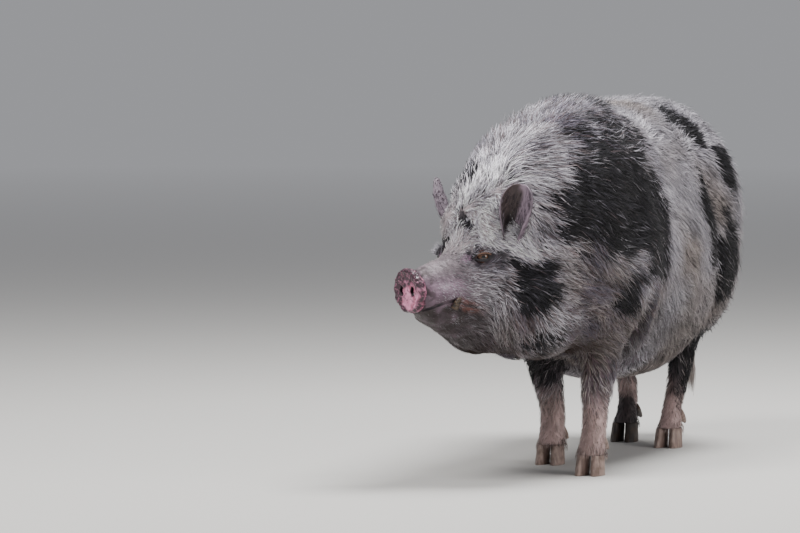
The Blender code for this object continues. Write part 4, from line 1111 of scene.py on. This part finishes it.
# Coat: coarse bristles in fine tapered tufts, dense on the body, erect along the crest of the neck, and
# short on face and feet. Each tuft roots in the skin and lies along it, to the rear and down.
COAT_SEED = 5
BODY_TUFTS, HEAD_TUFTS, FACE_TUFTS, LEG_TUFTS, CREST_TUFTS = 92500, 18500, 12500, 14000, 8500
PALE_HAIR, CREAM_HAIR, GREY_HAIR = linear(209, 205, 213), linear(184, 173, 169), linear(118, 112, 129)
# The third colour on the next line is a slate grey that some black tufts take, as a painted sheen
BROWN_HAIR, BLACK_HAIR, SLATE_SHEEN_HAIR = linear(108, 84, 80), linear(21, 20, 23), linear(70, 68, 76)
# The first colour on the next line is a reddish-brown painted shadow, for hair under the jowls and on the
# throat
UNDER_JOWL_SHADE_HAIR, EYE_HAIR, CHIN_HAIR = linear(62, 42, 32), linear(54, 48, 56), linear(66, 56, 54)
RED_HAIR, LEG_HAIR = linear(118, 78, 64), linear(204, 180, 172)
# Tones darken each tuft's root as painted shade among the hairs, and brighten its tip as painted light
TONES = (0.30, 0.82, 1.22)       # of a tuft's colour at its root, middle and tip
PATCH_SIZE = 0.003               # of a tuft on the flat pattern of its piece
ROOT_DEPTH, FLATNESS = 0.0012, 0.45   # of a tuft's root in the skin, and of its thickness to its width
draw = np.random.default_rng(COAT_SEED)


def unit(ways):
    return ways / np.maximum(np.linalg.norm(ways, axis=-1, keepdims=True), 1e-9)


def triangles_of(mesh):
    mesh.calc_loop_triangles()
    corners = np.zeros(len(mesh.loop_triangles) * 3, np.int32)
    mesh.loop_triangles.foreach_get("vertices", corners)
    return corners.reshape(-1, 3)


def roots_on(points, corners, density, count):
    """Points spread over a skin by density, and evened out by keeping one to a cell."""
    a, b, c = (points[corners[:, k]] for k in range(3))
    area = np.linalg.norm(np.cross(b - a, c - a), axis=1) / 2
    weight = area * density((a + b + c) / 3)
    picks = draw.choice(len(area), size=int(count * 1.75), p=weight / weight.sum())
    u, v = draw.random((2, len(picks)))
    u, v = np.where(u + v > 1, 1 - u, u), np.where(u + v > 1, 1 - v, v)
    spots = a[picks] + (b - a)[picks] * u[:, None] + (c - a)[picks] * v[:, None]
    normals = unit(np.cross(b - a, c - a)[picks])
    thick = density(spots)
    cell = math.sqrt(weight.sum() / count) / np.sqrt(np.maximum(thick, 1e-6)) * 0.86
    level = np.round(np.log2(cell) * 2)
    size = 2.0 ** (level / 2)
    keys = np.column_stack([np.floor(spots / size[:, None]).astype(np.int64), level.astype(np.int64)])
    _, first = np.unique(keys, axis=0, return_index=True)
    first = draw.permutation(first)[:count]
    return spots[first], normals[first]


def lie_of_coat(straight):
    """The way the hair lies at points of the straight pig: rearwards, down the sides and legs."""
    x, y, z = straight.T
    side = below(z, 0.60, 0.10) * above(z, 0.17, 0.10)
    down = (0.15 + 0.85 * side) * np.where(y < -0.085, 0.75, 1.0)
    face = below(y, -0.20, 0.06)
    down = down * (1 - 0.45 * face)
    way = np.stack([0.12 * np.sign(x) * (1 - side), np.ones(len(y)), -down], axis=1)
    leg = below(z, 0.24, 0.06) * above(y, -0.16, 0.06)
    way = way * (1 - leg)[:, None] + np.array([0.0, 0.22, -1.0]) * leg[:, None]
    swirl = 0.24 * np.stack([cloud(straight, 0.07, seed) for seed in (71, 72, 73)], axis=1)
    return unit(way + swirl)


def hair_colour(straight):
    """The colour of each tuft, by marking, place and chance, with painted shade and painted light."""
    count = len(straight)
    chance = draw.random(count)
    x, y, z = straight.T
    ahead = y - SNOUT_AT
    brow = brow_share(straight)
    neck = below(y, 0.20, 0.16) * above(ahead, 0.05, 0.10) * (1 - 0.85 * brow)
    grizzle = np.clip(0.5 + 0.35 * cloud(straight, 0.05, 81) + 0.30 * cloud(straight, 0.012, 82), 0, 1.2)

    # pale hair: cream low down, grey and brown on the neck, and reddish brown with painted shadow under jowls
    # and on the throat
    cream = 0.35 + 0.4 * cloud(straight, 0.11, 83) + 0.5 * np.clip((0.42 - z) / 0.2, -1, 0.8)
    pale = blend(PALE_HAIR, CREAM_HAIR, cream)
    pale = blend(pale, GREY_HAIR, (0.16 + 0.62 * neck) * (1 - 0.7 * brow) * grizzle)
    pale = blend(pale, BROWN_HAIR, 0.70 * (chance > 0.86 - 0.14 * neck) * (0.35 + 0.65 * neck))
    low_face = below(z, 0.345, 0.06) * below(y, -0.10, 0.08) * above(ahead, 0.06, 0.05)
    pale = blend(pale, BROWN_HAIR, 0.32 * low_face * grizzle)
    # reddish-brown painted shadow on hair under the jowls and on the throat
    jowl_shade = np.maximum(throat_shade_share(straight, 0.266, 0.04, 0.06), 1.4 * jowl_shade_share(straight))
    pale = blend(pale, UNDER_JOWL_SHADE_HAIR, 0.92 * jowl_shade * np.clip(0.85 + 0.5 * cloud(straight, 0.03, 84), 0, 1))
    pale = blend(pale, LEG_HAIR, 0.75 * below(z, 0.17, 0.09))

    # black hair: thick in the markings, some tufts lighter slate as a painted sheen, with a few stray tufts
    # of either kind in the other
    black = blend(BLACK_HAIR, SLATE_SHEEN_HAIR, 0.9 * draw.random(count) ** 2.0)
    dark = darkness(straight)
    is_black = dark > 0.12 + 0.76 * draw.random(count)
    stray = draw.random(count)
    is_black = np.where((dark > 0.9) & (stray > 0.955), False, is_black) | ((dark < 0.05) & (stray > 0.965))
    colour = np.where(is_black[:, None], black, pale)

    # face: dark chin and rings about the eyes, and red-brown hair at the corners of the mouth
    face = y < -0.24
    if face.any():
        chin = chin_share(straight, 0.125, 0.04, 0.307, 0.010)
        chin = 0.80 * chin * np.clip(0.85 + 0.4 * cloud(straight, 0.012, 37), 0, 1)
        colour = blend(colour, CHIN_HAIR, chin)
        for side in (1, -1):
            colour = blend(colour, EYE_HAIR, 0.85 * eye_ring_share(straight, side, 0.008))
            lip = np.ones(count)
            lip[face] = near_line(turned(straight[face]), lips[side])
            corner = above(ahead, 0.050, 0.02) * below(ahead, 0.118, 0.03)
            corner *= below(lip, 0.016, 0.014) * np.clip(0.7 + 0.6 * cloud(straight, 0.008, 36), 0, 1)
            colour = blend(colour, RED_HAIR, 0.6 * corner)

    # brightness: by chance and in streaks along the lie; painted shade along the elbow creases, on the low
    # flank, under the body and over the rear; painted light on the pale brow; darker on the neck and bridge
    # and paler low down
    under = below(z, 0.38, 0.16) * above(z, 0.16, 0.05)
    streaks_and_shade = cloud(np.stack([x, z + 0.6 * y, 0.14 * (y - 0.6 * z)], axis=1), 0.0075, 85)
    # painted shade along the creases behind the elbows
    streaks_and_shade = np.clip(1 + 0.28 * streaks_and_shade, 0.5, 1.35) * (1 - 0.60 * elbow_crease(straight))
    flank = below(z, 0.40, 0.08) * above(y, 0.00, 0.06) * below(y, 0.30, 0.12)
    # painted shade on the low flank
    streaks_and_shade *= 1 - 0.16 * flank * (z > 0.2)
    bright = draw.uniform(0.56, 1.18, count) * streaks_and_shade
    # painted shade under the body, and painted light on the pale brow
    colour *= (bright * (1 - 0.22 * under) * (1 - 0.10 * neck) * (1 + 0.62 * brow))[:, None]
    # a darker bridge, and painted shade over the rear of the body
    colour *= (1 - 0.20 * below(ahead, 0.095, 0.03) * (z > 0.35) - 0.17 * above(y, 0.14, 0.15))[:, None]
    colour *= (1 + 0.18 * below(z, 0.20, 0.05) * ~is_black)[:, None]
    return np.clip(colour, 0.003, 0.9)


def on_pattern(places, sizes=1.0):
    """Places on a flat pattern of given sizes, brought to the unit square and kept clear of its edges."""
    return 0.02 + 0.96 * places / sizes


def flat_pattern(straight):
    """Places on an unwrap of the skin: the angle round the body, and the way along it."""
    x, y, z = straight.T
    middle = (through(BACK_HEIGHT, y) + through(BELLY_HEIGHT, y)) / 2
    round_it = np.arctan2(x, z - middle) / (2 * math.pi) + 0.5
    pattern = np.stack([round_it, y], axis=1)
    low, high = pattern.min(0), pattern.max(0)
    return on_pattern(pattern - low, np.maximum(high - low, 1e-6))


coat_made, tree, shader = nodes_for("bristle_coat")
painted = add(tree, "ShaderNodeAttribute", attribute_name="hair").outputs["Color"]
place = own_place(tree)
strands, dust = noise(tree, place, 640.0, 2.0), noise(tree, place, 26.0, 4.0)
colour = mixed(tree, painted, ramp(tree, strands, ((0.3, 0.72), (0.7, 1.16))), 0.7, "MULTIPLY")
colour = mixed(tree, colour, ramp(tree, dust, ((0.3, 0.86), (0.7, 1.05))), 0.7, "MULTIPLY")
surfaced(tree, shader, colour, ramp(tree, strands, ((0.3, 0.48), (0.7, 0.66))), ((strands, 0.0003),), 0.3)


def tuft_piece(name, paths, overs, widths, thick, colours, flat):
    """A piece of coat: closed three-sided tufts, each through its root, middle and tip."""
    count = len(paths)
    blocks = []
    for k, share in ((0, 0.85), (1, 0.92)):
        ahead = unit(paths[:, k + 1] - paths[:, max(k - 1, 0)])
        across = unit(np.cross(ahead, overs[:, k]))
        over = np.cross(across, ahead)
        half = (widths * share / 2)[:, None]
        blocks += [paths[:, k] + across * half, paths[:, k] + over * (thick * share)[:, None],
                   paths[:, k] - across * half]
    verts = np.stack(blocks + [paths[:, -1]], axis=1)
    faces = [(0, 1, 2)] + [((c + 1) % 3, c, c + 3, (c + 1) % 3 + 3) for c in range(3)]
    faces += [(3 + (c + 1) % 3, 3 + c, 6) for c in range(3)]
    sizes = np.array([len(f) for f in faces])
    loops = np.array([v for f in faces for v in f])
    mesh = bpy.data.meshes.new(name)
    mesh.vertices.add(count * 7)
    mesh.vertices.foreach_set("co", verts.astype(np.float32).ravel())
    all_loops = (loops[None] + 7 * np.arange(count)[:, None]).ravel()
    mesh.loops.add(len(all_loops))
    mesh.loops.foreach_set("vertex_index", all_loops.astype(np.int32))
    mesh.polygons.add(count * len(faces))
    starts = np.concatenate([[0], np.cumsum(sizes)[:-1]])
    starts = starts[None] + len(loops) * np.arange(count)[:, None]
    mesh.polygons.foreach_set("loop_start", starts.astype(np.int32).ravel())
    mesh.update(calc_edges=True)
    spot = [(c / 2, r / 2) for r in range(2) for c in range(3)] + [(0.5, 1.0)]
    spots = np.array(spot)[loops] - 0.5
    pattern = mesh.uv_layers.new(name="OFBake")
    pattern.uv.foreach_set("vector", (flat[:, None] + PATCH_SIZE * spots[None]).astype(np.float32).ravel())
    # painted shade at each root and painted light at each tip
    tones = np.concatenate([np.repeat(TONES[:2], 3), TONES[2:]])
    paint(mesh, "hair", (colours[:, None] * tones[None, :, None]).reshape(-1, 3))
    finish_piece(linked(name, mesh), coat_made, "coat")


TUFTS_IN_CLUMP = 7


def lying_tufts(spots, normals, lengths, lifts):
    """Paths of tufts that lie along the skin, drawn together a little in clumps towards their tips."""
    straight = straightened(spots)
    ways = unit(turned(straight + 1e-3 * lie_of_coat(straight)) - spots)
    ways = unit(ways - normals * np.sum(ways * normals, axis=1, keepdims=True))
    sideways = np.cross(normals, ways)
    bend, lean = draw.normal(0, 0.12, len(spots)), draw.normal(0, 0.12, len(spots))
    ways = unit(ways + sideways * lean[:, None])
    count = max(len(spots) // TUFTS_IN_CLUMP, 1)
    clumps = KDTree(count)
    for k, seed in enumerate(draw.permutation(len(spots))[:count]):
        clumps.insert(spots[seed], k)
    clumps.balance()
    pull = np.array([np.array(clumps.find(spot)[0]) for spot in spots]) - spots
    far = np.linalg.norm(pull, axis=1, keepdims=True)
    pull *= np.minimum(1, 0.25 * lengths[:, None] / np.maximum(far, 1e-6))
    paths, overs = [spots - normals * ROOT_DEPTH], [normals]
    for share, high in ((0.5, 0.62), (1.0, 1.0)):
        path = spots + ways * (lengths * share)[:, None] + sideways * (bend * lengths * share ** 2)[:, None]
        path += pull * (0.72 * share ** 1.6)
        lain, outs = np.empty_like(path), np.empty_like(path)
        for n in range(len(path)):
            lain[n], outs[n] = skin_surface.find_nearest(path[n])[:2]
        paths.append(lain + outs * (lifts * high)[:, None])
        overs.append(outs)
    return np.stack(paths, axis=1), np.stack(overs[:2], axis=1), straight


skin_corners = triangles_of(skin.data)


def clear_of_face(paths):
    """Which tufts keep off the eyes, the lips and the disc."""
    count, stations = paths.shape[:2]
    points = paths.reshape(-1, 3)
    straight = straightened(points)
    ahead = straight[:, 1] - SNOUT_AT
    keep = ahead > 0.006
    for side in (1, -1):
        a, b, c = in_eye(straight, side)
        keep &= ~((np.hypot(a / 1.7, b) < 0.0118) & (c > 0))
        keep &= (near_line(points, lips[side]) > 0.0034) | (ahead > 0.085)
    return keep.reshape(count, stations).all(1)


# The body's hair, sparser under the belly, in five bands from neck to rump
BODY_HAIR_FRONT, BODY_HAIR_LOW = -0.172, 0.225


def body_density(points):
    z = points[:, 2]
    on_body = (straightened(points)[:, 1] > BODY_HAIR_FRONT) & (z >= BODY_HAIR_LOW)
    return np.where(on_body, 1.0 - 0.3 * below(z, 0.30, 0.10), 0.0)


spots, normals = roots_on(skin_points, skin_corners, body_density, BODY_TUFTS)
order = np.argsort(straightened(spots)[:, 1])
for word, band in zip(("neck", "shoulder", "barrel", "loin", "rump"), np.array_split(order, 5)):
    count = len(band)
    straight = straightened(spots[band])
    depth = np.minimum(coat_depth(straight) * (1 - CORE_SHARE), 0.010)
    stray = draw.random(count) > 0.86
    lengths = draw.uniform(0.028, 0.048, count) * (1 + 0.15 * cloud(straight, 0.06, 91))
    lengths *= np.where(stray, 1.15, 1.0)
    lifts = depth * draw.uniform(0.40, 1.45, count) * np.where(stray, 1.7, 1.0)
    lifts *= 1 + 0.45 * above(straight[:, 1], 0.42, 0.15)
    paths, overs, straight = lying_tufts(spots[band], normals[band], lengths, lifts)
    widths = draw.uniform(0.0010, 0.0019, count) * np.where(stray, 0.75, 1.0)
    tuft_piece("coat_" + word, paths, overs, widths, widths * FLATNESS, hair_colour(straight),
               flat_pattern(straight))


# The head's hair in two layers: long on cheeks and crown, and short and fine on the face
def head_density(points):
    y = straightened(points)[:, 1]
    return np.where(y < -0.160, above(y - SNOUT_AT, 0.03, 0.14), 0.0)


def face_density(points):
    y = straightened(points)[:, 1]
    ahead = y - SNOUT_AT
    near = above(ahead, 0.008, 0.05) * (1 - 0.8 * above(ahead, 0.13, 0.06))
    return np.where(y < -0.180, near, 0.0)


for word, density, count, length, lift, width in (
        ("head", head_density, HEAD_TUFTS, (0.009, 0.026), (0.0020, 0.0062), (0.0009, 0.0009)),
        ("face", face_density, FACE_TUFTS, (0.005, 0.012), (0.0008, 0.0030), (0.0006, 0.0003))):
    spots, normals = roots_on(skin_points, skin_corners, density, count)
    straight = straightened(spots)
    back = above(straight[:, 1] - SNOUT_AT, 0.04, 0.15)
    lengths = (length[0] + length[1] * back) * draw.uniform(0.75, 1.2, len(spots))
    lifts = (lift[0] + lift[1] * back) * draw.uniform(0.45, 1.35, len(spots))
    crown = above(straight[:, 2], 0.462, 0.035) * back
    lengths, lifts = lengths * (1 + 0.25 * crown), lifts * (1 + 0.90 * crown)
    paths, overs, straight = lying_tufts(spots, normals, lengths, lifts)
    widths = (width[0] + width[1] * back) * draw.uniform(0.75, 1.25, len(spots))
    colours = hair_colour(straight)
    keep = clear_of_face(paths)
    tuft_piece("coat_" + word, paths[keep], overs[keep], widths[keep], widths[keep] * FLATNESS,
               colours[keep], flat_pattern(straight[keep]))


# The legs' hair: short and sleek, thickest at the coronet, where it hangs over the horn
LEG_HAIR_TOP = 0.235


def leg_density(points):
    z = points[:, 2]
    on_leg = (z < LEG_HAIR_TOP) & (straightened(points)[:, 1] > BODY_HAIR_FRONT) & (z > CORONET + 0.001)
    return np.where(on_leg, 1.0 - 0.3 * above(z, 0.12, 0.1) + 1.2 * (z < 0.052), 0.0)


spots, normals = roots_on(skin_points, skin_corners, leg_density, LEG_TUFTS)
tall = above(spots[:, 2], 0.05, 0.16)
lengths = (0.011 + 0.019 * tall) * draw.uniform(0.8, 1.2, len(spots))
lifts = (0.0014 + 0.0044 * tall) * draw.uniform(0.5, 1.4, len(spots))
paths, overs, straight = lying_tufts(spots, normals, lengths, lifts)
hanging = below(spots[:, 2], 0.056, 0.012)[:, None]
sides = unit(normals * (1, 1, 0))
fall = (lengths * draw.uniform(0.9, 1.9, len(spots)))[:, None] * (0, 0, -1)
for k, share, high in ((1, 0.5, 0.0042), (2, 1.0, 0.0058)):
    paths[:, k] += (spots + fall * share + sides * high - paths[:, k]) * hanging
paths[..., 2] = np.maximum(paths[..., 2], 0.016 + 0.010 * draw.random(len(spots))[:, None])
widths = (0.0008 + 0.0009 * tall) * draw.uniform(0.75, 1.25, len(spots))
tuft_piece("coat_legs", paths, overs, widths, widths * FLATNESS, hair_colour(straight),
           flat_pattern(straight))


# The crest: long stiff hair that stands up along the neck and leans to the rear
def crest_density(points):
    straight = straightened(points)
    share = (coat_depth(straight) - COAT_DEPTH) / (CREST_DEPTH - COAT_DEPTH)
    return np.clip(share, 0, 1) ** 0.8


spots, normals = roots_on(skin_points, skin_corners, crest_density, CREST_TUFTS)
straight = straightened(spots)
ways = unit((turned(straight + 1e-3 * lie_of_coat(straight)) - spots) * (1, 1, 0.2))
depth = coat_depth(straight) * (1 - CORE_SHARE)
hump = np.exp(-((straight[:, 1] - 0.06) / 0.10) ** 2)
reach = depth * draw.uniform(0.70, 1.55, len(spots)) * (1 + 0.30 * hump)
lengths = draw.uniform(0.026, 0.050, len(spots))
sideways = unit(np.cross(normals, ways))
bend = draw.normal(0, 0.16, (len(spots), 1))
paths = [spots - normals * ROOT_DEPTH]
for share, high in ((0.5, 0.58), (1.0, 1.0)):
    paths.append(spots + normals * (reach * high)[:, None] + ways * (0.75 * lengths * share ** 1.5)[:, None]
                 + sideways * bend * (lengths * share)[:, None])
paths = np.stack(paths, axis=1)
widths = draw.uniform(0.0011, 0.0020, len(spots))
tuft_piece("coat_crest", paths, np.repeat(normals[:, None], 2, 1), widths, widths * 0.5,
           hair_colour(straight), flat_pattern(straight))

# Tail brush: long pale bristles that leave the tail one after another along its lower part and hang
# from it.
BRUSH_TUFTS, TAIL_TUFTS = 900, 2200
share = np.concatenate([draw.uniform(0.62, 1.0, BRUSH_TUFTS), draw.uniform(0.06, 0.85, TAIL_TUFTS)])
middles = tail_middle(share)
turn = draw.uniform(0, 2 * math.pi, len(share))
out = np.stack([np.cos(turn), np.sin(turn), np.zeros(len(turn))], axis=1)
radius = through(TAIL_RADIUS, share)
down = unit(tail_middle(np.minimum(share + 0.02, 1)) - tail_middle(share - 0.02))
brush = np.arange(len(share)) < BRUSH_TUFTS
lengths = np.where(brush, draw.uniform(0.05, 0.085, len(share)), draw.uniform(0.018, 0.030, len(share)))
spread = np.where(brush, draw.uniform(0.002, 0.012, len(share)), draw.uniform(0.002, 0.005, len(share)))
roots = middles + out * (radius - 0.0015)[:, None]
paths = [roots]
for along, wide in ((0.5, 0.9), (1.0, 0.8)):
    paths.append(roots + down * (lengths * along)[:, None] + out * (0.0015 + spread * wide)[:, None])
paths = np.stack(paths, axis=1)
paths[..., 2] = np.maximum(paths[..., 2], TAIL_BRUSH_END - 0.004 + 0.012 * draw.random(len(share))[:, None])
colours = np.where(brush[:, None], CREAM_HAIR, GREY_HAIR) * draw.uniform(0.7, 1.15, len(share))[:, None]
widths = np.full(len(share), 0.0016)
tuft_piece("coat_tail", paths, np.repeat(out[:, None], 2, 1), widths, widths * 0.5, colours,
           on_pattern(np.stack([turn / (2 * math.pi), share], axis=1)))

# Ear hair: sparse short hair on the back of each ear, and longer dark bristles that grow up out of
# its cup.
BACK_HAIRS, CUP_HAIRS = 800, 380
for side, word in SIDES:
    points, normals, inside = ears[side]
    high = (points[:, 2] - EAR_ROOT[2]) / EAR_HEIGHT
    picks = np.concatenate([draw.choice(np.nonzero(~inside)[0], BACK_HAIRS),
                            draw.choice(np.nonzero(inside & (high < 0.75))[0], CUP_HAIRS)])
    count, cup = len(picks), np.arange(BACK_HAIRS + CUP_HAIRS) >= BACK_HAIRS
    roots = points[picks] + draw.normal(0, 0.0010, (count, 3))
    straight = straightened(roots)
    outs = normals[picks]
    ways = np.array([0.30 * side, 0.10, 1.0]) + draw.normal(0, 0.16, (count, 3))
    ways = unit(ways - outs * np.sum(ways * outs, axis=1, keepdims=True))
    lengths = draw.uniform(0.008, 0.015, count) * np.clip(1.15 - 0.75 * high[picks], 0.3, 1.2)
    lengths *= np.where(cup, 1.35, 1.0)
    rise = np.where(cup, 0.0030, 0.0012)[:, None]
    paths = np.stack([roots - outs * 0.0006, roots + ways * (0.5 * lengths)[:, None] + outs * 0.6 * rise,
                      roots + ways * lengths[:, None] + outs * rise], axis=1)
    widths = draw.uniform(0.0005, 0.0008, count)
    colours = np.where(cup[:, None], EYE_HAIR, EAR_BACK) * draw.uniform(0.85, 1.35, count)[:, None]
    tuft_piece("hair_ear_" + word, paths, np.repeat(outs[:, None], 2, 1), widths, widths * FLATNESS, colours,
               flat_pattern(straight))

# Lashes: pale stiff bristles on the upper lid and on the fold above it. They grow in a fan out of the
# edge of the lid, and their tips droop.
LASHES = 90
for side, word in SIDES:
    middle, along, up, out = (np.array(v) for v in eyes[side])
    t = draw.uniform(-1, 1, LASHES)
    brow = draw.random(LASHES) > 0.55
    rise = np.where(brow, 0.0125, LID_RISE) * np.cos(t * math.pi / 2)
    x = LID_HALF_LENGTH * t
    depth = np.sqrt(np.maximum((EYE_RADIUS + 0.003) ** 2 - 0.55 * x * x - 0.8 * rise ** 2, 1e-6))
    roots = middle + along * x[:, None] + up * rise[:, None] + out * depth[:, None]
    upward = draw.uniform(0.1, 0.7, LASHES)
    sideways = 0.6 * t + draw.normal(0, 0.15, LASHES)
    ways = unit(out + up * upward[:, None] + along * sideways[:, None])
    lengths = np.where(brow, draw.uniform(0.010, 0.020, LASHES), draw.uniform(0.008, 0.015, LASHES))
    paths = np.stack([roots - ways * 0.001, roots + ways * (0.5 * lengths)[:, None] - up * 0.0006,
                      roots + ways * lengths[:, None] - up * 0.0028], axis=1)
    paths = turned(paths.reshape(-1, 3)).reshape(LASHES, 3, 3)
    widths = np.full(LASHES, 0.0007)
    colours = PALE_HAIR * draw.uniform(0.6, 1.1, LASHES)[:, None]
    over = unit(np.cross(paths[:, 2] - paths[:, 0], (0.3, 0.2, 1.0)))
    tuft_piece("lashes_" + word, paths, np.repeat(over[:, None], 2, 1), widths, widths * 0.5, colours,
               on_pattern(np.stack([0.5 + 0.5 * t, draw.random(LASHES)], axis=1)))

# Studio: a plain pale floor that fades into the backdrop, three soft lights, and a camera at the
# photograph's viewing angle.
WORLD_COLOUR, WORLD_STRENGTH = (0.94, 0.95, 1.0), 0.36
FLOOR_HALF, FLOOR_COLOUR, FADE_REACH = 40, (0.52, 0.51, 0.49), 30
corners = [(x * FLOOR_HALF, y * FLOOR_HALF, 0) for x, y in ((-1, -1), (1, -1), (1, 1), (-1, 1))]
floor = mesh_object("floor", corners, [(0, 1, 2, 3)])
floor_made, tree, shader = nodes_for("pale_floor")
away = add(tree, "ShaderNodeVectorMath", operation="LENGTH")
tree.links.new(own_place(tree), away.inputs[0])
share = add(tree, "ShaderNodeMath", operation="MULTIPLY")
share.inputs[1].default_value = 1 / FADE_REACH
tree.links.new(away.outputs["Value"], share.inputs[0])
plain = ramp(tree, share.outputs[0], ((0.05, FLOOR_COLOUR), (0.60, (0.0, 0.0, 0.0))))
glow = ramp(tree, share.outputs[0], ((0.05, 0.0), (0.60, 1.0)))
tree.links.new(plain, shader.inputs["Base Color"])
tree.links.new(glow, shader.inputs["Emission Strength"])
shader.inputs["Emission Color"].default_value = (*(c * WORLD_STRENGTH for c in WORLD_COLOUR), 1)
shader.inputs["Roughness"].default_value = 0.9
shader.inputs["Specular IOR Level"].default_value = 0.0
floor.data.materials.append(floor_made)
world = bpy.data.worlds.new("soft_studio")
bpy.context.scene.world = world
world.use_nodes = True
background = world.node_tree.nodes["Background"]
background.inputs["Color"].default_value = (*WORLD_COLOUR, 1)
background.inputs["Strength"].default_value = WORLD_STRENGTH
LIGHTS_AIM = (0, 0, 0.35)


def soft_light(name, place, size, power, colour):
    data = bpy.data.lights.new(name, "AREA")
    data.shape = "DISK"
    data.size = size
    data.energy = power
    data.color = colour
    lamp = linked(name, data)
    lamp.location = place
    lamp.rotation_mode = "QUATERNION"
    lamp.rotation_quaternion = (Vector(LIGHTS_AIM) - Vector(place)).to_track_quat("-Z", "Y")


soft_light("key", (-1.0, -2.4, 3.4), 1.6, 150, (1.0, 0.99, 0.98))
soft_light("top", (0.8, 0.7, 3.8), 1.8, 260, (1.0, 1.0, 1.0))
soft_light("side", (3.6, -0.8, 1.8), 2.4, 60, (1.0, 0.97, 0.95))

AZIMUTH, ELEVATION, DISTANCE = math.radians(19), math.radians(3), 8.0
PICTURE_WIDTH, PICTURE_HEIGHT, FOCAL_PIXELS, SENSOR = 800, 533, 4480.0, 36.0
SIZES_FROM_ACROSS, SIZES_FROM_DOWN = 556, 470   # pixels at which the point shows that the sizes count from
camera = linked("camera", bpy.data.cameras.new("camera"))
bpy.context.scene.camera = camera
camera.data.sensor_width = SENSOR
camera.data.lens = SENSOR * FOCAL_PIXELS / PICTURE_WIDTH
camera.data.clip_start, camera.data.clip_end = 0.1, 200
right = Vector((math.cos(AZIMUTH), math.sin(AZIMUTH), 0))
back = Vector((math.sin(AZIMUTH) * math.cos(ELEVATION), -math.cos(AZIMUTH) * math.cos(ELEVATION),
               math.sin(ELEVATION)))
upward = right.cross(-back)
across = (SIZES_FROM_ACROSS - PICTURE_WIDTH / 2) / FOCAL_PIXELS * DISTANCE
down = (SIZES_FROM_DOWN - PICTURE_HEIGHT / 2) / FOCAL_PIXELS * DISTANCE
camera.location = Vector(OFFSET) - (right * across - upward * down) + back * DISTANCE
camera.rotation_mode = "QUATERNION"
camera.rotation_quaternion = (-back).to_track_quat("-Z", "Y")
